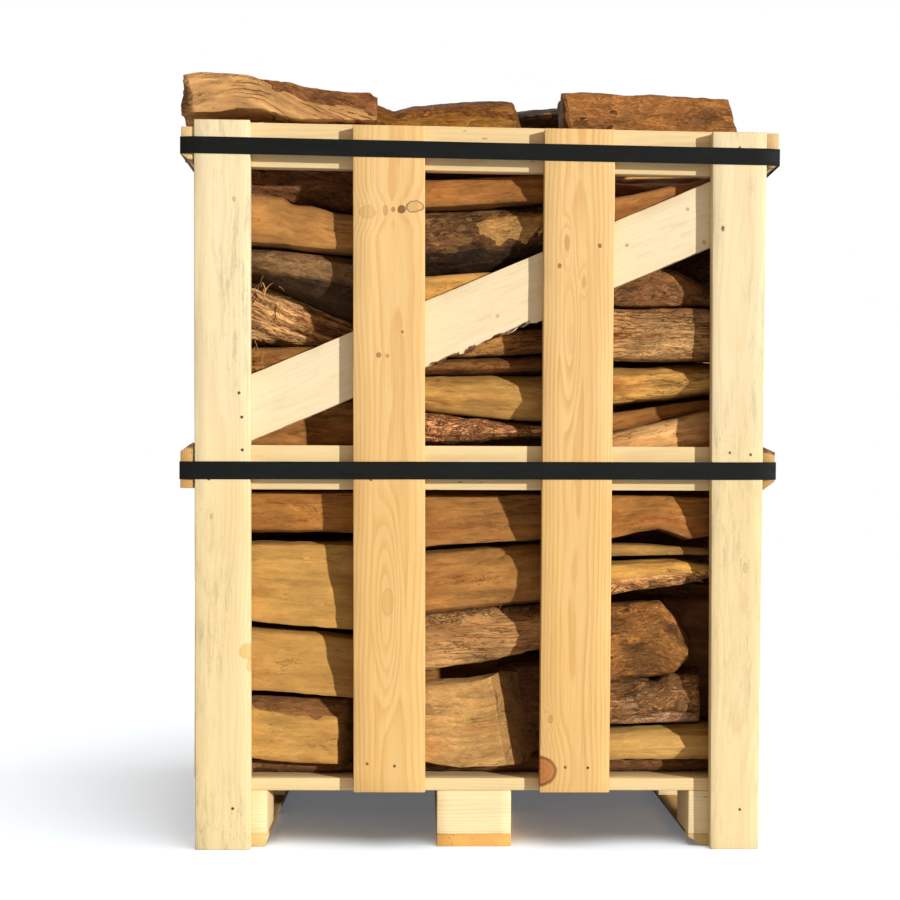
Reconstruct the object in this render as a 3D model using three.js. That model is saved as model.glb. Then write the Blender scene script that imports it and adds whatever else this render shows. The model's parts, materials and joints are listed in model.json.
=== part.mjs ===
// Split firewood stacked in a slatted crate on a pallet, held by two straps.
// Millimetres, +Z up, origin on the floor under the middle of the crate, front towards -Y.
import * as THREE from 'three';

// ---- sawn timber -------------------------------------------------------------------
const BOARD = 22; // thickness of every sawn board
const GAP = 0.3; // clearance between pieces that touch
const FACE_Y = 400; // outer face of the front and back boards
const POST_X = 500; // nominal outer edge of the corner boards
const SIDE_X = 522; // outer face of the side rails
const RAIL_END = 396; // half length of the side rails
const INNER_Y = FACE_Y - BOARD - GAP; // outer face of the front and back rails
const SIDE_BOARD_X = SIDE_X - BOARD - GAP; // outer face of the upright side boards
const INNER_X = SIDE_BOARD_X - BOARD; // inner face of the upright side boards

// ---- pallet ------------------------------------------------------------------------
const BLOCK_Z = 78; // height of a pallet block
const BLOCK_Y = 110; // depth of a pallet block
const DECK_HALF_X = 494; // half length of a deck board
const DECK_BOARD_Y = 100; // width of a deck board
const DECK_COUNT = 5;
const DECK_Z = BOARD + BLOCK_Z + GAP; // underside of the deck
const FLOOR_Z = DECK_Z + BOARD + GAP; // where the crate's load stands
// each row of blocks and the skid under it, with the worn lower inner corner of the skid
const BLOCK_ROWS = [
  { name: 'left', from: -492, to: -371, cutFrom: 'right', cutX: 5, cutZ: 12 },
  { name: 'middle', from: -71, to: 61, cutFrom: 'right', cutX: 2, cutZ: 3 },
  { name: 'right', from: 378, to: 498, cutFrom: 'left', cutX: 30, cutZ: 16 },
];

// ---- front and back panel: upright boards as left and right edges at foot and top -----
const UPRIGHTS = [
  { name: 'corner_left', foot: [-494, -398], top: [-499.5, -403], z: [0, 1272] },
  { name: 'board_left', foot: [-218, -92], top: [-225, -100], z: [101, 1266.5] },
  { name: 'board_right', foot: [110, 233], top: [109, 232.5], z: [101, 1266] },
  { name: 'corner_right', foot: [414, 499.5], top: [404, 499.5], z: [0, 1264.5] },
];
// rails as lower and upper edge heights at their left and right ends
const RAILS = [
  { name: 'rail_top', left: [1196, 1273.6], right: [1192, 1269.5] },
  { name: 'rail_middle', left: [632, 710], right: [636, 714] },
];
const RAIL_X = INNER_X - GAP; // half length of the front and back rails
const BRACE_SLOPE = 0.4316; // rise of the diagonal brace for each millimetre across
const BRACE_LOW = 891; // height of its lower edge at the middle of the panel
const BRACE_RISE = 117; // its upright thickness
const BRACE_FOOT = 711; // cut along the middle rail
const BRACE_HEAD = 1191.3; // cut along the top rail

// ---- side panels ---------------------------------------------------------------------
const SIDE_TOP_Z = 1258; // top of the upright side boards
const SIDE_BOARDS = [
  { name: 'corner_front', from: -377, to: -280 },
  { name: 'board_front', from: -166, to: -56 },
  { name: 'board_back', from: 56, to: 166 },
  { name: 'corner_back', from: 280, to: 377 },
];
// waney side rails: inner edge heights, then outer edge heights
const SIDE_RAILS = {
  left: [
    { name: 'rail_top', inner: [1194, 1260], outer: [1212, 1260] },
    { name: 'rail_middle', inner: [634, 714], outer: [634, 698] },
  ],
  right: [
    { name: 'rail_top', inner: [1197, 1264], outer: [1208, 1264] },
    { name: 'rail_middle', inner: [636, 714], outer: [654, 704] },
  ],
};

// ---- straps ----------------------------------------------------------------------------
const STRAP_THICK = 1.2;
const SEAL_THICK = 1.6;
const SEAL_LONG = 44;
const STRAPS = [
  { name: 'upper', middle: 1224.5, width: 29, slope: -0.0057, sealSide: -1 },
  { name: 'lower', middle: 668, width: 31, slope: 0.0065, sealSide: 1 },
];

// ---- firewood --------------------------------------------------------------------------
const STACK_TOP = 1225; // top of the stacked columns
const LAYERS = 11; // layers of logs in a column
const STACK_FACE = 354.8; // stack face behind a rail or a brace
const STACK_BULGE = 362; // stack face where nothing stands before it
const STACK_NOTCH = 346; // how far in the gap between two layers reaches
const BULGE_MARGIN = 3; // clearance kept to rails and brace before a layer may bulge
const COLUMNS = [
  { name: 'left', from: -475, to: -161 },
  { name: 'middle', from: -158, to: 168 },
  { name: 'right', from: 171, to: 475 },
];
// log sections as fractions of width and height
const WEDGE = [[0, 0], [1, 0.04], [0.96, 0.5], [0.62, 1], [0.2, 0.86]];
const CLEFT = [[0.08, 0], [0.92, 0], [1, 0.55], [0.8, 0.96], [0.25, 1], [0, 0.5]];
const TOP_LOGS = [
  { name: 'left_1', x: [-519, -198], y: [-389, -268], z: [1274.3, 1360], section: CLEFT },
  { name: 'left_2', x: [-474, -164], y: [-150, -20], z: [1225.3, 1322], section: WEDGE },
  { name: 'left_3', x: [-472, -170], y: [120, 240], z: [1225.3, 1306], section: CLEFT },
  { name: 'middle_1', x: [-192, 76], y: [-352, -246], z: [1225.3, 1331], section: CLEFT },
  { name: 'middle_2', x: [-150, 164], y: [-236, -120], z: [1225.3, 1356], section: CLEFT },
  { name: 'middle_3', x: [-156, 150], y: [-20, 104], z: [1225.3, 1325], section: CLEFT },
  { name: 'middle_4', x: [-146, 166], y: [216, 344], z: [1225.3, 1308], section: WEDGE },
  { name: 'right_1', x: [154, 458], y: [-350, -236], z: [1271.2, 1350], section: CLEFT },
  { name: 'right_2', x: [174, 472], y: [-120, 10], z: [1225.3, 1318], section: CLEFT },
  { name: 'right_3', x: [176, 466], y: [150, 268], z: [1225.3, 1328], section: WEDGE },
];

const finish = (color, roughness, metalness = 0) =>
  new THREE.MeshStandardMaterial({ color, roughness, metalness });
const palePine = () => finish(0xf2e3bb, 0.75);
const warmPine = () => finish(0xe8c48c, 0.7);
const blockWood = () => finish(0xecd6a0, 0.8);
const splitWood = () => finish(0xb07f45, 0.85);
const strapBand = () => finish(0x222326, 0.55);
const sealSteel = () => finish(0x8a8d90, 0.4, 0.9);

// (outline across, outline up, extrusion) seen from the front, and seen from the side
const FROM_FRONT = new THREE.Matrix4().makeBasis(
  new THREE.Vector3(1, 0, 0),
  new THREE.Vector3(0, 0, 1),
  new THREE.Vector3(0, -1, 0),
);
const FROM_SIDE = new THREE.Matrix4().makeBasis(
  new THREE.Vector3(0, 1, 0),
  new THREE.Vector3(0, 0, 1),
  new THREE.Vector3(1, 0, 0),
);

const crate = new THREE.Group();

function shapeOf(points) {
  return new THREE.Shape(points.map(([across, up]) => new THREE.Vector2(across, up)));
}

function extrude(shape, depth) {
  return new THREE.ExtrudeGeometry(shape, { depth, bevelEnabled: false });
}

function addMesh(parent, name, geometry, material) {
  const mesh = new THREE.Mesh(geometry, material);
  mesh.name = name;
  parent.add(mesh);
  return mesh;
}

// a piece whose outline lies in X and Z, filling y0 to y1
function addFrontOutline(parent, name, points, y0, y1, material) {
  const geometry = extrude(shapeOf(points), y1 - y0);
  geometry.applyMatrix4(FROM_FRONT);
  addMesh(parent, name, geometry, material).position.y = y1;
}

// a piece whose outline lies in Y and Z, filling x0 to x1
function addSideOutline(parent, name, points, x0, x1, material) {
  const geometry = extrude(shapeOf(points), x1 - x0);
  geometry.applyMatrix4(FROM_SIDE);
  addMesh(parent, name, geometry, material).position.x = x0;
}

function rectangle(a0, a1, b0, b1) {
  return [[a0, b0], [a1, b0], [a1, b1], [a0, b1]];
}

function skidOutline({ from, to, cutFrom, cutX, cutZ }) {
  if (cutFrom === 'right') {
    return [[from, 0], [to - cutX, 0], [to, cutZ], [to, BOARD], [from, BOARD]];
  }
  return [[from + cutX, 0], [to, 0], [to, BOARD], [from, BOARD], [from, cutZ]];
}

function addPallet(parent) {
  const blockFoot = BOARD + GAP;
  const blockHead = BOARD + BLOCK_Z;
  const rowY = { front: -INNER_Y + BLOCK_Y / 2, centre: 0, back: INNER_Y - BLOCK_Y / 2 };
  for (const row of BLOCK_ROWS) {
    addFrontOutline(parent, `skid_${row.name}`, skidOutline(row), -INNER_Y, INNER_Y, warmPine());
    for (const [place, y] of Object.entries(rowY)) {
      addFrontOutline(
        parent,
        `block_${row.name}_${place}`,
        rectangle(row.from, row.to, blockFoot, blockHead),
        y - BLOCK_Y / 2,
        y + BLOCK_Y / 2,
        blockWood(),
      );
    }
  }
  const pitch = (2 * INNER_Y - DECK_BOARD_Y) / (DECK_COUNT - 1);
  for (let i = 0; i < DECK_COUNT; i += 1) {
    const y = -INNER_Y + i * pitch;
    addFrontOutline(
      parent,
      `deck_board_${i + 1}`,
      rectangle(-DECK_HALF_X, DECK_HALF_X, DECK_Z, DECK_Z + BOARD),
      y,
      y + DECK_BOARD_Y,
      palePine(),
    );
  }
}

const braceLow = (x) => BRACE_LOW + BRACE_SLOPE * x;
const braceHigh = (x) => braceLow(x) + BRACE_RISE;
const braceLowAt = (z) => (z - BRACE_LOW) / BRACE_SLOPE;
const braceHighAt = (z) => (z - BRACE_LOW - BRACE_RISE) / BRACE_SLOPE;

function braceOutline() {
  return [
    [-RAIL_X, BRACE_FOOT],
    [braceLowAt(BRACE_FOOT), BRACE_FOOT],
    [RAIL_X, braceLow(RAIL_X)],
    [RAIL_X, BRACE_HEAD],
    [braceHighAt(BRACE_HEAD), BRACE_HEAD],
    [-RAIL_X, braceHigh(-RAIL_X)],
  ];
}

// four uprights over two rails and a diagonal brace, built as the front panel
function addPanel(parent, side) {
  for (const { name, foot, top, z } of UPRIGHTS) {
    const outline = [[foot[0], z[0]], [foot[1], z[0]], [top[1], z[1]], [top[0], z[1]]];
    const wood = name.startsWith('corner') ? palePine() : warmPine();
    addFrontOutline(parent, `${side}_${name}`, outline, -FACE_Y, -FACE_Y + BOARD, wood);
  }
  for (const { name, left, right } of RAILS) {
    const outline = [[-RAIL_X, left[0]], [RAIL_X, right[0]], [RAIL_X, right[1]], [-RAIL_X, left[1]]];
    addFrontOutline(parent, `${side}_${name}`, outline, -INNER_Y, -INNER_Y + BOARD, palePine());
  }
  addFrontOutline(parent, `${side}_brace`, braceOutline(), -INNER_Y, -INNER_Y + BOARD, palePine());
}

// upright boards standing on the deck inside two waney rails
function addSidePanel(parent, side) {
  const sign = side === 'left' ? -1 : 1;
  for (const { name, from, to } of SIDE_BOARDS) {
    const x0 = sign < 0 ? -SIDE_BOARD_X : INNER_X;
    const outline = rectangle(from, to, FLOOR_Z, SIDE_TOP_Z);
    addSideOutline(parent, `${side}_side_${name}`, outline, x0, x0 + BOARD, palePine());
  }
  for (const { name, inner, outer } of SIDE_RAILS[side]) {
    const inside = sign * (SIDE_X - BOARD);
    const outside = sign * SIDE_X;
    const outline = [[inside, inner[0]], [outside, outer[0]], [outside, outer[1]], [inside, inner[1]]];
    addFrontOutline(parent, `${side}_side_${name}`, outline, -RAIL_END, RAIL_END, palePine());
  }
}

// convex outline moved outwards by a distance, each corner at its new edges' crossing
function grow(points, distance) {
  return points.map((corner, i) => {
    const before = points[(i + points.length - 1) % points.length];
    const after = points[(i + 1) % points.length];
    const normalIn = outwardNormal(before, corner);
    const normalOut = outwardNormal(corner, after);
    const reach = distance / (1 + normalIn.dot(normalOut));
    return [
      corner[0] + (normalIn.x + normalOut.x) * reach,
      corner[1] + (normalIn.y + normalOut.y) * reach,
    ];
  });
}

function outwardNormal(start, end) {
  return new THREE.Vector2(end[1] - start[1], start[0] - end[0]).normalize();
}

// the tight path of a strap round the crate, anticlockwise from above
function strapPath() {
  const quarter = [[SIDE_X, RAIL_END], [POST_X, FACE_Y]];
  const half = [...quarter, ...quarter.map(([x, y]) => [-x, y]).reverse()];
  return [...half, ...half.map(([x, y]) => [-x, -y])];
}

function addStrap(parent, { name, middle, width, slope, sealSide }) {
  const inner = grow(strapPath(), GAP);
  const outer = grow(strapPath(), GAP + STRAP_THICK);
  const shape = shapeOf(outer);
  shape.holes.push(shapeOf(inner));
  const band = extrude(shape, width);
  const tilt = new THREE.Matrix4().makeShear(0, slope, 0, 0, 0, 0);
  band.applyMatrix4(tilt);
  addMesh(parent, `strap_${name}`, band, strapBand()).position.z = middle - width / 2;

  const sealInside = SIDE_X + GAP + STRAP_THICK + GAP;
  const sealMiddle = middle + slope * sealSide * SIDE_X;
  const seal = new THREE.BoxGeometry(SEAL_THICK, SEAL_LONG, width + 2);
  addMesh(parent, `strap_seal_${name}`, seal, sealSteel()).position.set(
    sealSide * (sealInside + SEAL_THICK / 2),
    0,
    sealMiddle,
  );
}

// true where no rail or brace of a panel stands before this part of a column
function isOpenBefore(x0, x1, z0, z1) {
  const behindRail = RAILS.some(({ left, right }) => {
    const low = Math.min(left[0], right[0]) - BULGE_MARGIN;
    const high = Math.max(left[1], right[1]) + BULGE_MARGIN;
    return z1 > low && z0 < high;
  });
  const inBraceField = z1 > BRACE_FOOT && z0 < BRACE_HEAD;
  const behindBrace = z1 > braceLow(x0) - BULGE_MARGIN && z0 < braceHigh(x1) + BULGE_MARGIN;
  return !behindRail && !(inBraceField && behindBrace);
}

// one column of the stack: its face bulges at each layer and draws in between layers
function stackOutline({ from, to }) {
  const layer = (STACK_TOP - FLOOR_Z) / LAYERS;
  const front = [];
  const back = [];
  for (let i = 0; i < LAYERS; i += 1) {
    const z0 = FLOOR_Z + i * layer;
    const z1 = z0 + layer;
    const frontFace = isOpenBefore(from, to, z0, z1) ? STACK_BULGE : STACK_FACE;
    const backFace = isOpenBefore(-to, -from, z0, z1) ? STACK_BULGE : STACK_FACE;
    const heights = [z0, z0 + layer * 0.22, z0 + layer * 0.78];
    front.push([-STACK_NOTCH, heights[0]], [-frontFace, heights[1]], [-frontFace, heights[2]]);
    back.push([STACK_NOTCH, heights[0]], [backFace, heights[1]], [backFace, heights[2]]);
  }
  return [...back, [STACK_NOTCH, STACK_TOP], [-STACK_NOTCH, STACK_TOP], ...front.reverse()];
}

function addFirewood(parent) {
  for (const column of COLUMNS) {
    addSideOutline(
      parent,
      `logs_${column.name}_column`,
      stackOutline(column),
      column.from,
      column.to,
      splitWood(),
    );
  }
  for (const { name, x, y, z, section } of TOP_LOGS) {
    const outline = section.map(([across, up]) => [
      y[0] + across * (y[1] - y[0]),
      z[0] + up * (z[1] - z[0]),
    ]);
    addSideOutline(parent, `top_log_${name}`, outline, x[0], x[1], splitWood());
  }
}

addPallet(crate);

const frontPanel = new THREE.Group();
addPanel(frontPanel, 'front');
crate.add(frontPanel);

const backPanel = new THREE.Group();
addPanel(backPanel, 'back');
backPanel.rotation.z = Math.PI;
crate.add(backPanel);

addSidePanel(crate, 'left');
addSidePanel(crate, 'right');
STRAPS.forEach((strap) => addStrap(crate, strap));
addFirewood(crate);

export default crate;
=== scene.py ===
"""Split firewood stacked in a slatted pine crate on a pallet, held by two straps.

The CAD frame gives every place and size. Lengths written with MM are millimetres turned to metres.
"""

import json
import logging
import math
from contextlib import contextmanager
from dataclasses import dataclass, field
from enum import Enum
from itertools import product
from typing import Iterable, Iterator

import bpy
import numpy as np
from mathutils import Matrix, Vector

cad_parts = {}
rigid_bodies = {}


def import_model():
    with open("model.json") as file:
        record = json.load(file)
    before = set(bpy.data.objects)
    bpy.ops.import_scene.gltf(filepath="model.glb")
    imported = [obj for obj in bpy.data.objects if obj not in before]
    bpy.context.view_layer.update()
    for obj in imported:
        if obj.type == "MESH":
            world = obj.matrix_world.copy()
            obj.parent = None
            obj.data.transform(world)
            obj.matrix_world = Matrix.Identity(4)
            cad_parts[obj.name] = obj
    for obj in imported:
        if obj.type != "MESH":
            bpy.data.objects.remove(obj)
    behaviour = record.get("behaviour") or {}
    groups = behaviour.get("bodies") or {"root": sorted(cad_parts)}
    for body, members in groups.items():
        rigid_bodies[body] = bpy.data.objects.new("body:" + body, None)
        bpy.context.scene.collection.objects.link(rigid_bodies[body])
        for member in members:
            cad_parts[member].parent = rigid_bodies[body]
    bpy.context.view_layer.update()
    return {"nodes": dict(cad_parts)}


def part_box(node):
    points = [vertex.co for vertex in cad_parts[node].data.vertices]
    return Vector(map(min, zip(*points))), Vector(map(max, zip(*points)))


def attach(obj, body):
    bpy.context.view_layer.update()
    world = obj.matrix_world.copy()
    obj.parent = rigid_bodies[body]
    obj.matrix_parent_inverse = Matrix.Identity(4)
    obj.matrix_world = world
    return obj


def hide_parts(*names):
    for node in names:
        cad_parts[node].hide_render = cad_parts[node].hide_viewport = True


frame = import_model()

log = logging.getLogger("crate")
MM = 0.001
WELD = 0.00002
BODY = "root"
Colour = tuple[float, float, float]
Pair = tuple[float, float]
Piece = bpy.types.Object


# ---- small tools ---------------------------------------------------------------------------


def deselect_all() -> None:
    """Leave nothing selected."""
    for thing in bpy.context.selected_objects:
        thing.select_set(False)


def activate(piece: Piece) -> Piece:
    """Select one piece alone and make it active.

    Args:
        piece: The object to work on.

    Returns:
        The same object.
    """
    deselect_all()
    piece.select_set(True)
    bpy.context.view_layer.objects.active = piece
    return piece


@contextmanager
def edit_mode(piece: Piece) -> Iterator[None]:
    """Open a piece in edit mode with everything selected, and close it again.

    Args:
        piece: The mesh object to edit.
    """
    activate(piece)
    bpy.ops.object.mode_set(mode="EDIT")
    bpy.ops.mesh.select_all(action="SELECT")
    try:
        yield
    finally:
        bpy.ops.object.mode_set(mode="OBJECT")


def points_of(piece: Piece) -> np.ndarray:
    """The piece's vertex places as rows of x, y, z."""
    places = np.empty(len(piece.data.vertices) * 3, np.float32)
    piece.data.vertices.foreach_get("co", places)
    return places.reshape(-1, 3).astype(float)


def move_points(piece: Piece, places: np.ndarray) -> None:
    """Write vertex places back to the piece's mesh."""
    piece.data.vertices.foreach_set("co", places.astype(np.float32).ravel())
    piece.data.update()


def normals_of(piece: Piece) -> np.ndarray:
    """The piece's vertex normals as rows of x, y, z."""
    normals = np.empty(len(piece.data.vertices) * 3, np.float32)
    piece.data.vertex_normals.foreach_get("vector", normals)
    return normals.reshape(-1, 3).astype(float)


def store(piece: Piece, name: str, values: np.ndarray | float) -> None:
    """Keep a value for each vertex as a named attribute.

    Args:
        piece: The mesh object.
        name: The attribute's name.
        values: One number, or one row of three numbers, for each vertex, or a number for them all.
    """
    vector = np.ndim(values) == 2
    count = len(piece.data.vertices)
    values = np.broadcast_to(np.asarray(values, np.float32), (count, 3) if vector else count)
    attribute = piece.data.attributes.new(name, "FLOAT_VECTOR" if vector else "FLOAT", "POINT")
    attribute.data.foreach_set("vector" if vector else "value", np.ascontiguousarray(values).ravel())


def noise(places: np.ndarray, seed: int) -> np.ndarray:
    """Smooth repeatable noise from -1 to 1 with features about one unit long.

    Args:
        places: Rows of x, y, z.
        seed: Which noise field to read.

    Returns:
        One value for each row.
    """
    cell = np.floor(places).astype(np.int64)
    part = places - cell
    part = part * part * (3.0 - 2.0 * part)
    total = np.zeros(len(places))
    for corner in product((0, 1), repeat=3):
        spot = cell + np.array(corner)
        key = spot[:, 0] * 374761393 + spot[:, 1] * 668265263 + spot[:, 2] * 1274126177 + seed * 974634777
        key = (key ^ (key >> 13)) * 1103515245 & 0x7FFFFFFF
        key = (key ^ (key >> 15)) * 1597334677 & 0x7FFFFFFF
        value = ((key >> 8) & 0xFFFF) / 32767.5 - 1.0
        weight = np.prod(np.where(np.array(corner) == 1, part, 1.0 - part), axis=1)
        total += value * weight
    return total


def rows(*columns: np.ndarray | float) -> np.ndarray:
    """Columns of numbers, or single numbers, side by side as rows."""
    return np.stack(np.broadcast_arrays(*columns), 1)


def ramp(values: np.ndarray) -> np.ndarray:
    """Values held between 0 and 1."""
    return np.clip(values, 0.0, 1.0)


def along(marks: tuple[Pair, ...], x: np.ndarray) -> np.ndarray:
    """A height that changes along a log, read at each x."""
    return np.interp(x, *zip(*marks))


def new_copy(source: Piece, name: str) -> Piece:
    """A new object with its own copy of another object's mesh."""
    piece = bpy.data.objects.new(name, source.data.copy())
    bpy.context.scene.collection.objects.link(piece)
    piece.data.name = name
    return piece


def cut_across(normal: Vector, spots: Iterable[Vector]) -> None:
    """Cut the whole mesh that is open in edit mode with a plane at each spot.

    Args:
        normal: The planes' direction.
        spots: A point on each plane.
    """
    for spot in spots:
        bpy.ops.mesh.select_all(action="SELECT")
        bpy.ops.mesh.bisect(plane_co=spot, plane_no=normal)


def merge_faces(degrees: float) -> None:
    """Weld the CAD mesh that is open in edit mode and drop the edges inside its flat faces."""
    bpy.ops.mesh.remove_doubles(threshold=WELD)
    bpy.ops.mesh.dissolve_limited(angle_limit=math.radians(degrees))
    bpy.ops.mesh.select_all(action="SELECT")


def dress(piece: Piece, finish: object, degrees: float | None = None) -> None:
    """Give a piece its finish and, where an angle is given, its shading."""
    piece.data.materials.clear()
    piece.data.materials.append(Finishes.of(finish))
    if degrees is not None:
        smooth_by_angle(piece, degrees)


def join(pieces: list[Piece], name: str) -> Piece:
    """Join pieces into one object.

    Args:
        pieces: The objects to join.
        name: The joined object's name.

    Returns:
        The joined object.
    """
    deselect_all()
    for piece in pieces:
        piece.select_set(True)
    bpy.context.view_layer.objects.active = pieces[0]
    if len(pieces) > 1:
        bpy.ops.object.join()
    whole = bpy.context.view_layer.objects.active
    whole.name = name
    return whole


def hand_over(piece: Piece, slot: str, *nodes: str) -> Piece:
    """Let a finished piece ride on the crate and stand for its CAD nodes.

    Args:
        piece: The finished piece.
        slot: The record's material slot; not used.
        nodes: The CAD nodes that the piece stands for.

    Returns:
        The same piece.
    """
    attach(piece, BODY)
    if nodes:
        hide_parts(*nodes)
    faces = len(piece.data.polygons)
    log.info("%s: %d faces, stands for %s", piece.name, faces, ", ".join(nodes) or "nothing")
    return piece


def smooth_by_angle(piece: Piece, degrees: float) -> None:
    """Shade smooth, with edges sharper than the angle kept crisp."""
    activate(piece)
    bpy.ops.object.shade_smooth_by_angle(angle=math.radians(degrees))


# ---- materials -------------------------------------------------------------------------------

class Value:
    """What comes out of a node: it can be summed, stretched, stepped and tinted."""

    def __init__(self, sheet: "NodeSheet", socket: bpy.types.NodeSocket) -> None:
        """Hold one output of one of the sheet's nodes."""
        self.sheet = sheet
        self.socket = socket

    def __add__(self, other: object) -> "Value":
        """This plus another."""
        return self.sheet.math("ADD", self, other)

    def __radd__(self, other: object) -> "Value":
        """Another plus this."""
        return self.sheet.math("ADD", other, self)

    def __sub__(self, other: object) -> "Value":
        """This less another."""
        return self.sheet.math("SUBTRACT", self, other)

    def __rsub__(self, other: object) -> "Value":
        """Another less this."""
        return self.sheet.math("SUBTRACT", other, self)

    def __mul__(self, other: object) -> "Value":
        """This times another."""
        return self.sheet.math("MULTIPLY", self, other)

    def __truediv__(self, other: object) -> "Value":
        """This over another."""
        return self.sheet.math("DIVIDE", self, other)

    def __pow__(self, other: object) -> "Value":
        """This to the power of another."""
        return self.sheet.math("POWER", self, other)

    def __abs__(self) -> "Value":
        """This without its sign."""
        return self.sheet.math("ABSOLUTE", self)

    def sine(self) -> "Value":
        """The sine of this angle in radians."""
        return self.sheet.math("SINE", self)

    def fract(self) -> "Value":
        """What is left of this past a whole number."""
        return self.sheet.math("FRACT", self)

    def length(self) -> "Value":
        """This vector's length."""
        return self.sheet.vector("LENGTH", self)

    def moved(self, other: object) -> "Value":
        """This vector plus another."""
        return self.sheet.vector("ADD", self, other)

    def away_from(self, other: object) -> "Value":
        """This vector less another."""
        return self.sheet.vector("SUBTRACT", self, other)

    def stretched(self, scale: Colour) -> "Value":
        """This vector multiplied by a scale for each axis."""
        return self.sheet.vector("MULTIPLY", self, scale)

    def scaled(self, amount: object) -> "Value":
        """This colour made brighter or darker by a number."""
        return self.sheet.vector("SCALE", self, (0.0, 0.0, 0.0), (0.0, 0.0, 0.0), amount)

    def held(self, other: object) -> "Value":
        """This times another, kept between 0 and 1."""
        return self.sheet.math("MULTIPLY", self, other, clamp=True)

    def tinted(self, tint: object) -> "Value":
        """This colour multiplied by another."""
        return self.sheet.mix(1.0, self, tint, "MULTIPLY")

    def parts(self, kind: str) -> "Node":
        """This vector (XYZ) or colour (Color) taken apart."""
        return self.sheet.node(f"ShaderNodeSeparate{kind}", {0: self})

    def noise(self, scale: Colour | None, detail: float = 3.0, rough: float = 0.5) -> "Value":
        """A noise value from 0 to 1 at this place, stretched first where a scale is given."""
        place = self.stretched(scale) if scale else self
        inputs = {"Vector": place, "Scale": 1.0, "Detail": detail, "Roughness": rough}
        return self.sheet.node("ShaderNodeTexNoise", inputs).out(0)

    def cells(self, feature: str = "DISTANCE_TO_EDGE") -> "Value":
        """How far this place is from the edge, or the middle, of its cell."""
        inputs = {"Vector": self, "Scale": 1.0}
        return self.sheet.node("ShaderNodeTexVoronoi", inputs, feature=feature).out("Distance")

    def patches(self, scale: float = 1.0) -> "Node":
        """A pattern of cells, with each cell's own colour and the distance to its middle."""
        return self.sheet.node("ShaderNodeTexVoronoi", {"Vector": self, "Scale": scale})

    def step(self, start: float, end: float, low: float = 0.0, high: float = 1.0) -> "Value":
        """A smooth step from low to high as this goes from start to end."""
        inputs = {"Value": self, "From Min": start, "From Max": end, "To Min": low, "To Max": high}
        return self.sheet.node("ShaderNodeMapRange", inputs, interpolation_type="SMOOTHSTEP").out(0)


@dataclass
class Node:
    """A node on a sheet, whose outputs come as values."""

    sheet: "NodeSheet"
    made: bpy.types.Node

    def out(self, key: int | str) -> Value:
        """One output, by name or place."""
        return Value(self.sheet, self.made.outputs[key])


class NodeSheet:
    """One material's nodes, wired by short calls."""

    def __init__(self, name: str) -> None:
        """Start a material with its shader and output only."""
        self.material = bpy.data.materials.new(name)
        self.material.use_nodes = True
        self.tree = self.material.node_tree
        self.shader = self.tree.nodes["Principled BSDF"]

    def feed(self, socket: bpy.types.NodeSocket, value: object) -> None:
        """Link a socket, or set its own value."""
        if isinstance(value, Value):
            self.tree.links.new(value.socket, socket)
        elif socket.type == "RGBA":
            socket.default_value = (*value[:3], 1.0)
        else:
            socket.default_value = value

    def node(self, kind: str, inputs: dict[str | int, object], **settings: object) -> Node:
        """Add a node.

        Args:
            kind: The node's type name.
            inputs: Values or links for its sockets, by name or place.
            settings: The node's own settings.

        Returns:
            The new node.
        """
        made = self.tree.nodes.new(kind)
        for key, value in settings.items():
            setattr(made, key, value)
        for key, value in inputs.items():
            self.feed(made.inputs[key], value)
        return Node(self, made)

    def math(self, operation: str, *values: object, clamp: bool = False) -> Value:
        """A Math node's result."""
        return self.node("ShaderNodeMath", dict(enumerate(values)), operation=operation,
                         use_clamp=clamp).out(0)

    def vector(self, operation: str, *values: object) -> Value:
        """A Vector Math node's result, a number for LENGTH."""
        node = self.node("ShaderNodeVectorMath", dict(enumerate(values)), operation=operation)
        return node.out(1 if operation == "LENGTH" else 0)

    def attribute(self, name: str, output: str = "Vector") -> Value:
        """The value of a mesh attribute."""
        return self.node("ShaderNodeAttribute", {}, attribute_name=name).out(output)

    def place(self) -> Value:
        """Object coordinates, in metres."""
        return self.node("ShaderNodeTexCoord", {}).out("Object")

    def mix(self, share: object, first: object, second: object, blend: str = "MIX") -> Value:
        """Two colours mixed or blended by a share."""
        inputs = {0: share, 6: first, 7: second}
        return self.node("ShaderNodeMix", inputs, data_type="RGBA", blend_type=blend).out(2)

    def finish(self, colour: Value, roughness: Value, height: Value, depth: float,
               shine: float = 0.5) -> bpy.types.Material:
        """Wire the shader.

        Args:
            colour: The base colour.
            roughness: The roughness.
            height: The relief from 0 to 1.
            depth: The relief's depth in metres.
            shine: How strongly the surface mirrors light, 0.5 for plain plastic.

        Returns:
            The finished material.
        """
        bump = self.node("ShaderNodeBump", {"Strength": 1.0, "Distance": depth, "Height": height}).out(0)
        wiring = {"Specular IOR Level": shine, "Base Color": colour, "Roughness": roughness, "Normal": bump}
        for name, value in wiring.items():
            self.feed(self.shader.inputs[name], value)
        return self.material


@dataclass(frozen=True)
class Knot:
    """One knot in a board: its middle in the frame in millimetres, its half sizes and its look."""

    x: float
    z: float
    wide: float
    tall: float
    dark: float = 0.6
    tint: Colour = (0.13, 0.05, 0.014)
    swirl: float = 1.0
    stretch: float = 1.4
    ragged: float = 0.3
    rim: float = 1.0


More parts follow.
